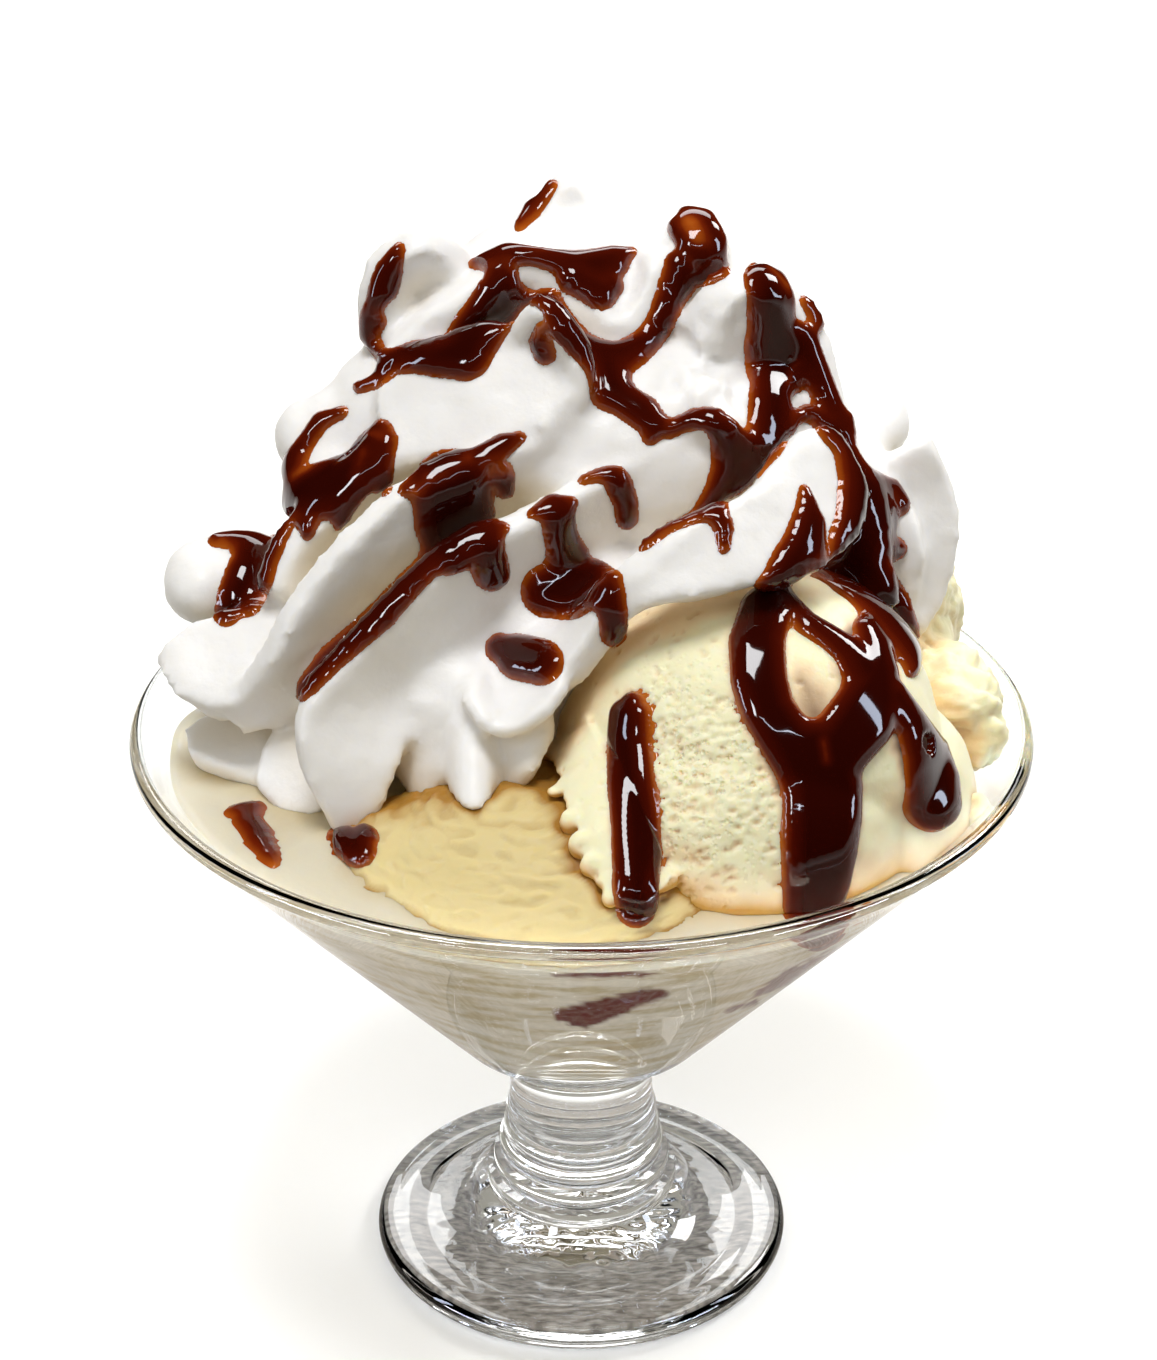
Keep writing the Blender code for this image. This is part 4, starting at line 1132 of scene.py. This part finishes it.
def vanilla_ice_cream(name, pale, deep, sauced=False):
    """Vanilla ice cream, spaded: pale yellow and softly matte, with painted shade that deepens its yellow
    where it is pitted or shut in and where it faces down.

    The sauced scoop is also stained by the sauce and has the finest pits, with painted shade in them.
    """
    material, tree, shader = finish(name, {
        "Roughness": 0.5,
        "IOR": 1.35,
        "Subsurface Weight": 1.0,
        "Subsurface Radius": (1.0, 0.86, 0.6),
        "Subsurface Scale": 0.8 * MM,
    })
    shader.subsurface_method = "RANDOM_WALK"
    place = add(tree, "ShaderNodeTexCoord").outputs["Object"]
    size = {"Scale": pattern_scale(ICE_PATCH), "Detail": 4.0}
    patches = add(tree, "ShaderNodeTexNoise", size, {"Vector": place}).outputs["Fac"]
    # Painted shade in hollows, on the sides that face down and in the pits, with random patches of deeper
    # tone, sets how deep the yellow is.
    shelter = add(tree, "ShaderNodeAttribute", {"attribute_name": "shelter"}).outputs["Fac"]
    pit = add(tree, "ShaderNodeAttribute", {"attribute_name": "pit"}).outputs["Fac"]
    more = {"operation": "MULTIPLY_ADD", 1: PIT_SHADE}
    shut = add(tree, "ShaderNodeMath", more, {0: pit, 2: shelter}).outputs[0]
    more = {"operation": "MULTIPLY_ADD", 1: PATCH_SHADE}
    shade = add(tree, "ShaderNodeMath", more, {0: patches, 2: shut}).outputs[0]
    size = {"Scale": pattern_scale(ICE_GRIT), "Detail": 4.0}
    grit = add(tree, "ShaderNodeTexNoise", size, {"Vector": place}).outputs["Fac"]
    bump = add(tree, "ShaderNodeBump", {"Strength": 0.25, "Distance": 0.2 * MM}, {"Height": grit})
    surface = bump.outputs["Normal"]
    if sauced:
        worn = add(tree, "ShaderNodeAttribute", {"attribute_name": "worn"}).outputs["Fac"]
        size = {"Scale": pattern_scale(FINE_PIT_PITCH)}
        cells = add(tree, "ShaderNodeTexVoronoi", size, {"Vector": place}).outputs["Distance"]
        dip = {"From Min": 0.12, "From Max": 0.42, "To Min": 1.0, "To Max": 0.0}
        cup = add(tree, "ShaderNodeMapRange", dip, {"Value": cells}).outputs["Result"]
        fine = add(tree, "ShaderNodeMath", {"operation": "MULTIPLY"}, {0: cup, 1: worn}).outputs[0]
        dent = {"invert": True, "Distance": 0.3 * MM}
        surface = add(tree, "ShaderNodeBump", dent, {"Height": fine, "Normal": surface}).outputs["Normal"]
        # Painted shade in the fine pits.
        more = {"operation": "MULTIPLY_ADD", 1: FINE_PIT_SHADE}
        shade = add(tree, "ShaderNodeMath", more, {0: fine, 2: shade}).outputs[0]
    vanilla = {"stops": [(0.28, pale), (0.95, deep)]}
    colour = add(tree, "ShaderNodeValToRGB", vanilla, {"Fac": shade}).outputs["Color"]
    if sauced:
        soak = add(tree, "ShaderNodeAttribute", {"attribute_name": "soak"}).outputs["Fac"]
        brown = {"stops": [(0.0, "#c98a4a"), (1.0, "#4a1c0a")]}
        stain = add(tree, "ShaderNodeValToRGB", brown, {"Fac": soak}).outputs["Color"]
        colour = add(tree, "ShaderNodeMix", {"data_type": "RGBA"}, {0: soak, 6: colour, 7: stain}).outputs[2]
    tree.links.new(colour, shader.inputs["Base Color"])
    tree.links.new(surface, shader.inputs["Normal"])
    return material


def melted_vanilla():
    """Melted vanilla against the glass: dull beige, streaked where it ran, with blots of sauce in it.

    It wets the glass, so its own surface has no shine.
    """
    material, tree, shader = finish("melted_vanilla_on_glass", {"Roughness": 0.5, "Specular IOR Level": 0.0})
    place = add(tree, "ShaderNodeTexCoord").outputs["Object"]
    across, up = (pattern_scale(size) for size in MELT_STREAK)
    drawn = add(tree, "ShaderNodeMapping", {"Scale": (across, across, up)}, {"Vector": place}).outputs[0]
    streaks = add(tree, "ShaderNodeTexNoise", {"Scale": 1.0, "Detail": 5.0}, {"Vector": drawn}).outputs["Fac"]
    beige = {"stops": [(0.36, "#bba880"), (0.6, "#dcd2ba")]}
    tone = add(tree, "ShaderNodeValToRGB", beige, {"Fac": streaks}).outputs["Color"]
    soak = add(tree, "ShaderNodeAttribute", {"attribute_name": "soak"}).outputs["Fac"]
    sauce = {"data_type": "RGBA", 7: linear("#5e1508")}
    blot = add(tree, "ShaderNodeMix", sauce, {0: soak, 6: tone}).outputs[2]
    tree.links.new(blot, shader.inputs["Base Color"])
    return material


def poured_chocolate_sauce():
    """Chocolate sauce, poured: amber where it thins out, near black where it pools, wet all over."""
    material, tree, shader = finish("poured_chocolate_sauce", {"Roughness": 0.05, "IOR": 1.42})
    depth = add(tree, "ShaderNodeAttribute", {"attribute_name": "depth"}).outputs["Fac"]
    browns = [(0.0, "#b0611f"), (0.18, "#94420f"), (0.38, "#651d06"), (0.6, "#450d03"), (1.0, "#2c0602")]
    tone = add(tree, "ShaderNodeValToRGB", {"stops": browns}, {"Fac": depth})
    tree.links.new(tone.outputs["Color"], shader.inputs["Base Color"])
    return material


# Building


def wear(obj, material):
    """Gives the object the one material and smooth shading."""
    obj.data.materials.clear()
    obj.data.materials.append(material)
    obj.data.polygons.foreach_set("material_index", np.zeros(len(obj.data.polygons), dtype=np.int32))
    only(obj)
    bpy.ops.object.shade_smooth()


coupe = make_coupe()
coupe.data.materials.clear()
coupe.data.materials.append(pressed_soda_lime_glass())
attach(coupe, "root")
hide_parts("glass")

fill = make_fill()
plain_balls = [ball("guide", centre, radii) for lumps in SCOOPS.values() for centre, radii in lumps]
guide = tree_of([fill, *plain_balls])
for shape in plain_balls:
    bpy.data.objects.remove(shape)
torn = [torn_skirt(guide), *bits(guide, TORN_BITS)]
large_scoop = pressed(make_scoop("scoop_front_right", "large_scoop", 0.38, torn))
roughened(large_scoop, pits=True)
# A twin of the large scoop, without its pits, carries the sauce on it and is then removed.
torn = [torn_skirt(guide), *bits(guide, TORN_BITS)]
smooth_scoop = pressed(make_scoop("scoop_front_right", "smooth_scoop", 0.46, torn))
low_scoop = pressed(roughened(make_scoop("scoop_front_left", "low_scoop", 0.42), wrinkles=1.0))
back_scoop = make_scoop("scoop_back_right", "back_scoop", 0.55, bits(guide, BACK_BITS))
back_scoop = pressed(roughened(back_scoop, wrinkles=0.4, lumps=1.0, crumble=1.0))
cream = make_cream()

food = [fill, large_scoop, low_scoop, back_scoop, cream]
near = tree_of(food)
far = tree_of(food, turned=True)
sauces = [
    pour("sauce_on_cream", cream, near, SAUCE),
    pour("sauce_behind", cream, far, FAR_SAUCE, turned=True),
    pour("sauce_on_large_scoop", smooth_scoop, near, SAUCE),
    pour("sauce_on_low_scoop", low_scoop, near, SAUCE),
    pour("sauce_on_fill", fill, near, SAUCE),
]
bpy.data.objects.remove(smooth_scoop)
# Painted shade: every piece is darker where it is shut in, and the large and low scoops also where they face
# down. The low scoop's reach is long, for the cream above it.
paint_shade(fill, near, 11.0)
paint_shade(large_scoop, near, 15.0, 0.55, 0.75)
paint_shade(low_scoop, near, 42.0, 1.7, 0.3)
paint_shade(back_scoop, near, 9.0)
paint_shade(cream, near, 11.0)

stained(large_scoop)
blotted(fill)

wear(cream, whipped_dairy_cream())
# Each vanilla's deep colour is painted shade, reached in its hollows, its pits and on the sides that face
# down.
wear(large_scoop, vanilla_ice_cream("spaded_vanilla", "#fff1cf", "#cfa054", sauced=True))
wear(back_scoop, vanilla_ice_cream("broken_vanilla", "#fff0cc", "#e8c27c"))
# The low scoop and the fill are darker copies of the same vanilla. This is painted shade for the shade that
# they lie in under the cream and the scoops.
wear(low_scoop, vanilla_ice_cream("dragged_vanilla", "#dccb96", "#a87a30"))
wear(fill, vanilla_ice_cream("settled_vanilla", "#d5cdb6", "#c2ad80"))
fill.data.materials.append(melted_vanilla())
for face in fill.data.polygons:
    if face.normal.z < -0.1:
        face.material_index = 1
sauce_brown = poured_chocolate_sauce()
for sauce in sauces:
    wear(sauce, sauce_brown)

for piece, node in (
    (cream, "whipped_cream"),
    (large_scoop, "scoop_front_right"),
    (low_scoop, "scoop_front_left"),
    (back_scoop, "scoop_back_right"),
    (fill, "ice_cream_base"),
):
    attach(piece, "root")
    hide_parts(node)
for sauce in sauces:
    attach(sauce, "root")


# The studio, with its places and sizes in metres and its lights in watts


def make_floor():
    """A plain pale floor, so wide that it is the picture's back too. It throws no light on the food."""
    bpy.ops.object.select_all(action="DESELECT")
    bpy.ops.mesh.primitive_plane_add(size=6.0, location=(0, 0, -0.06 * MM))
    floor = bpy.context.object
    floor.name = "studio_floor"
    material, _, _ = finish("matt_white_paper", {"Base Color": linear("#f7f7f6"), "Roughness": 0.7})
    floor.data.materials.append(material)
    floor.visible_diffuse = False
    return floor


def softbox(name, place, aim, size, power, colour="#ffffff", shine_only=False):
    """A rectangular softbox at a place, turned to its aim; one may be there for its shine only."""
    light = bpy.data.lights.new(name, "AREA")
    light.shape = "RECTANGLE"
    light.size, light.size_y = size
    light.energy = power
    light.color = linear(colour)[:3]
    lamp = bpy.data.objects.new(name, light)
    lamp.location = place
    lamp.rotation_euler = (Vector(aim) - Vector(place)).to_track_quat("-Z", "Y").to_euler()
    lamp.visible_diffuse = not shine_only
    lamp.visible_camera = False
    bpy.context.scene.collection.objects.link(lamp)
    return lamp


def make_flag():
    """A dark soft-edged table top under the glass, that only the glass and the wet sauce show."""
    bpy.ops.object.select_all(action="DESELECT")
    bpy.ops.mesh.primitive_plane_add(size=1.0, location=(0, -0.35, -0.03 * MM))
    flag = bpy.context.object
    flag.name = "studio_flag"
    flag.scale = (1.8, 1.1, 1.0)
    placed(flag)
    material, tree, shader = finish("grey_table_top", {"Roughness": 0.9})
    place = add(tree, "ShaderNodeTexCoord").outputs["Object"]
    across, deep = (pattern_scale(size) for size in TABLE_SPECK)
    drawn = add(tree, "ShaderNodeMapping", {"Scale": (across, deep, 1.0)}, {"Vector": place}).outputs[0]
    specks = add(tree, "ShaderNodeTexNoise", {"Scale": 1.0, "Detail": 4.0}, {"Vector": drawn}).outputs["Fac"]
    grey = {"stops": [(0.35, "#695d51"), (0.68, "#c0b3a4")]}
    tone = add(tree, "ShaderNodeValToRGB", grey, {"Fac": specks})
    tree.links.new(tone.outputs["Color"], shader.inputs["Base Color"])
    reach = {"Location": (0.0, 0.7, 0.0), "Scale": (1.15, 2.0, 0.0)}
    middle = add(tree, "ShaderNodeMapping", reach, {"Vector": place}).outputs["Vector"]
    fade = add(tree, "ShaderNodeTexGradient", {"gradient_type": "SPHERICAL"}, {"Vector": middle})
    edge = add(tree, "ShaderNodeMapRange", {"From Max": 0.35}, {"Value": fade.outputs["Fac"]})
    tree.links.new(edge.outputs["Result"], shader.inputs["Alpha"])
    flag.data.materials.append(material)
    flag.visible_camera = False
    flag.visible_shadow = False
    flag.visible_diffuse = False
    return flag


floor = make_floor()
make_flag()
softbox("key", (-0.06, -0.15, 0.9), (0, 0, 0.08), (0.26, 0.26), 4.7, "#fcfdff")
softbox("window", (-0.42, -0.62, 0.62), (0, 0, 0.1), (0.14, 0.2), 0.5)
softbox("far_right", (0.55, 0.4, 0.6), (0.03, 0.01, 0.09), (0.25, 0.25), 3.4)
softbox("behind", (0.0, 1.25, 1.0), (0, 0.9, 0.0), (1.2, 0.5), 10.0)
softbox("window_glint", (-0.43, -0.6, 0.64), (0, 0, 0.1), (0.12, 0.18), 1.6, "#f2f6ff", True)
softbox("strip", (0.1, -0.85, 0.8), (0, 0, 0.1), (0.9, 0.014), 1.4, "#e4edff", True)
softbox("right", (0.7, -0.1, 0.35), (0, 0, 0.08), (0.08, 0.4), 1.6, "#dbe8ff", True)
softbox("left", (-0.7, -0.15, 0.3), (0, 0, 0.08), (0.08, 0.4), 1.6, "#dbe8ff", True)
# A low one warms only the cone, as a table near it would.
cone_only = bpy.data.collections.new("cone_only")
cone_only.objects.link(coupe)
cone_only.objects.link(fill)
bounce = softbox("bounce", (0.0, -0.32, 0.02), (0, -0.03, 0.06), (0.5, 0.05), 0.22, "#fff0dc")
bounce.light_linking.receiver_collection = cone_only
# One lightens only the floor, so that the glass throws no heavy shadow.
floor_only = bpy.data.collections.new("floor_only")
floor_only.objects.link(floor)
floor_light = softbox("floor_light", (0.0, -1.0, 1.3), (0, 0, 0), (1.6, 1.0), 12.0)
floor_light.light_linking.receiver_collection = floor_only
# Four more shine on the glass alone, for the long cold glints along its rim, its rings and its foot.
glass_only = bpy.data.collections.new("glass_only")
glass_only.objects.link(coupe)
for lamp in (
    softbox("crown", (0.0, -0.2, 0.95), (0, 0, 0.1), (1.2, 0.2), 18.0, "#e4edff", True),
    softbox("low_strip", (0.0, -0.95, 0.22), (0, 0, 0.08), (1.2, 0.12), 9.0, "#e4edff", True),
    softbox("low_left", (-0.8, -0.5, 0.12), (0, 0, 0.02), (0.5, 0.12), 6.0, "#e4edff", True),
    softbox("low_right", (0.8, -0.5, 0.12), (0, 0, 0.02), (0.5, 0.12), 6.0, "#e4edff", True),
):
    lamp.light_linking.receiver_collection = glass_only

world = bpy.data.worlds.new("studio")
bpy.context.scene.world = world
world.use_nodes = True
world.node_tree.nodes["Background"].inputs["Color"].default_value = linear("#fff9ea")
world.node_tree.nodes["Background"].inputs["Strength"].default_value = 0.38
world.cycles_visibility.glossy = False

camera = bpy.data.objects.new("camera", bpy.data.cameras.new("camera"))
bpy.context.scene.collection.objects.link(camera)
camera.location = EYE * MM
camera.rotation_euler = (math.radians(90) - EYE_TILT, 0.0, 0.0)
camera.data.sensor_width = 36.0
camera.data.lens = PICTURE_FOCUS / PICTURE_SIZE[1] * 36.0
camera.data.clip_start = 0.01
bpy.context.scene.camera = camera
bpy.context.scene.view_settings.view_transform = "Standard"
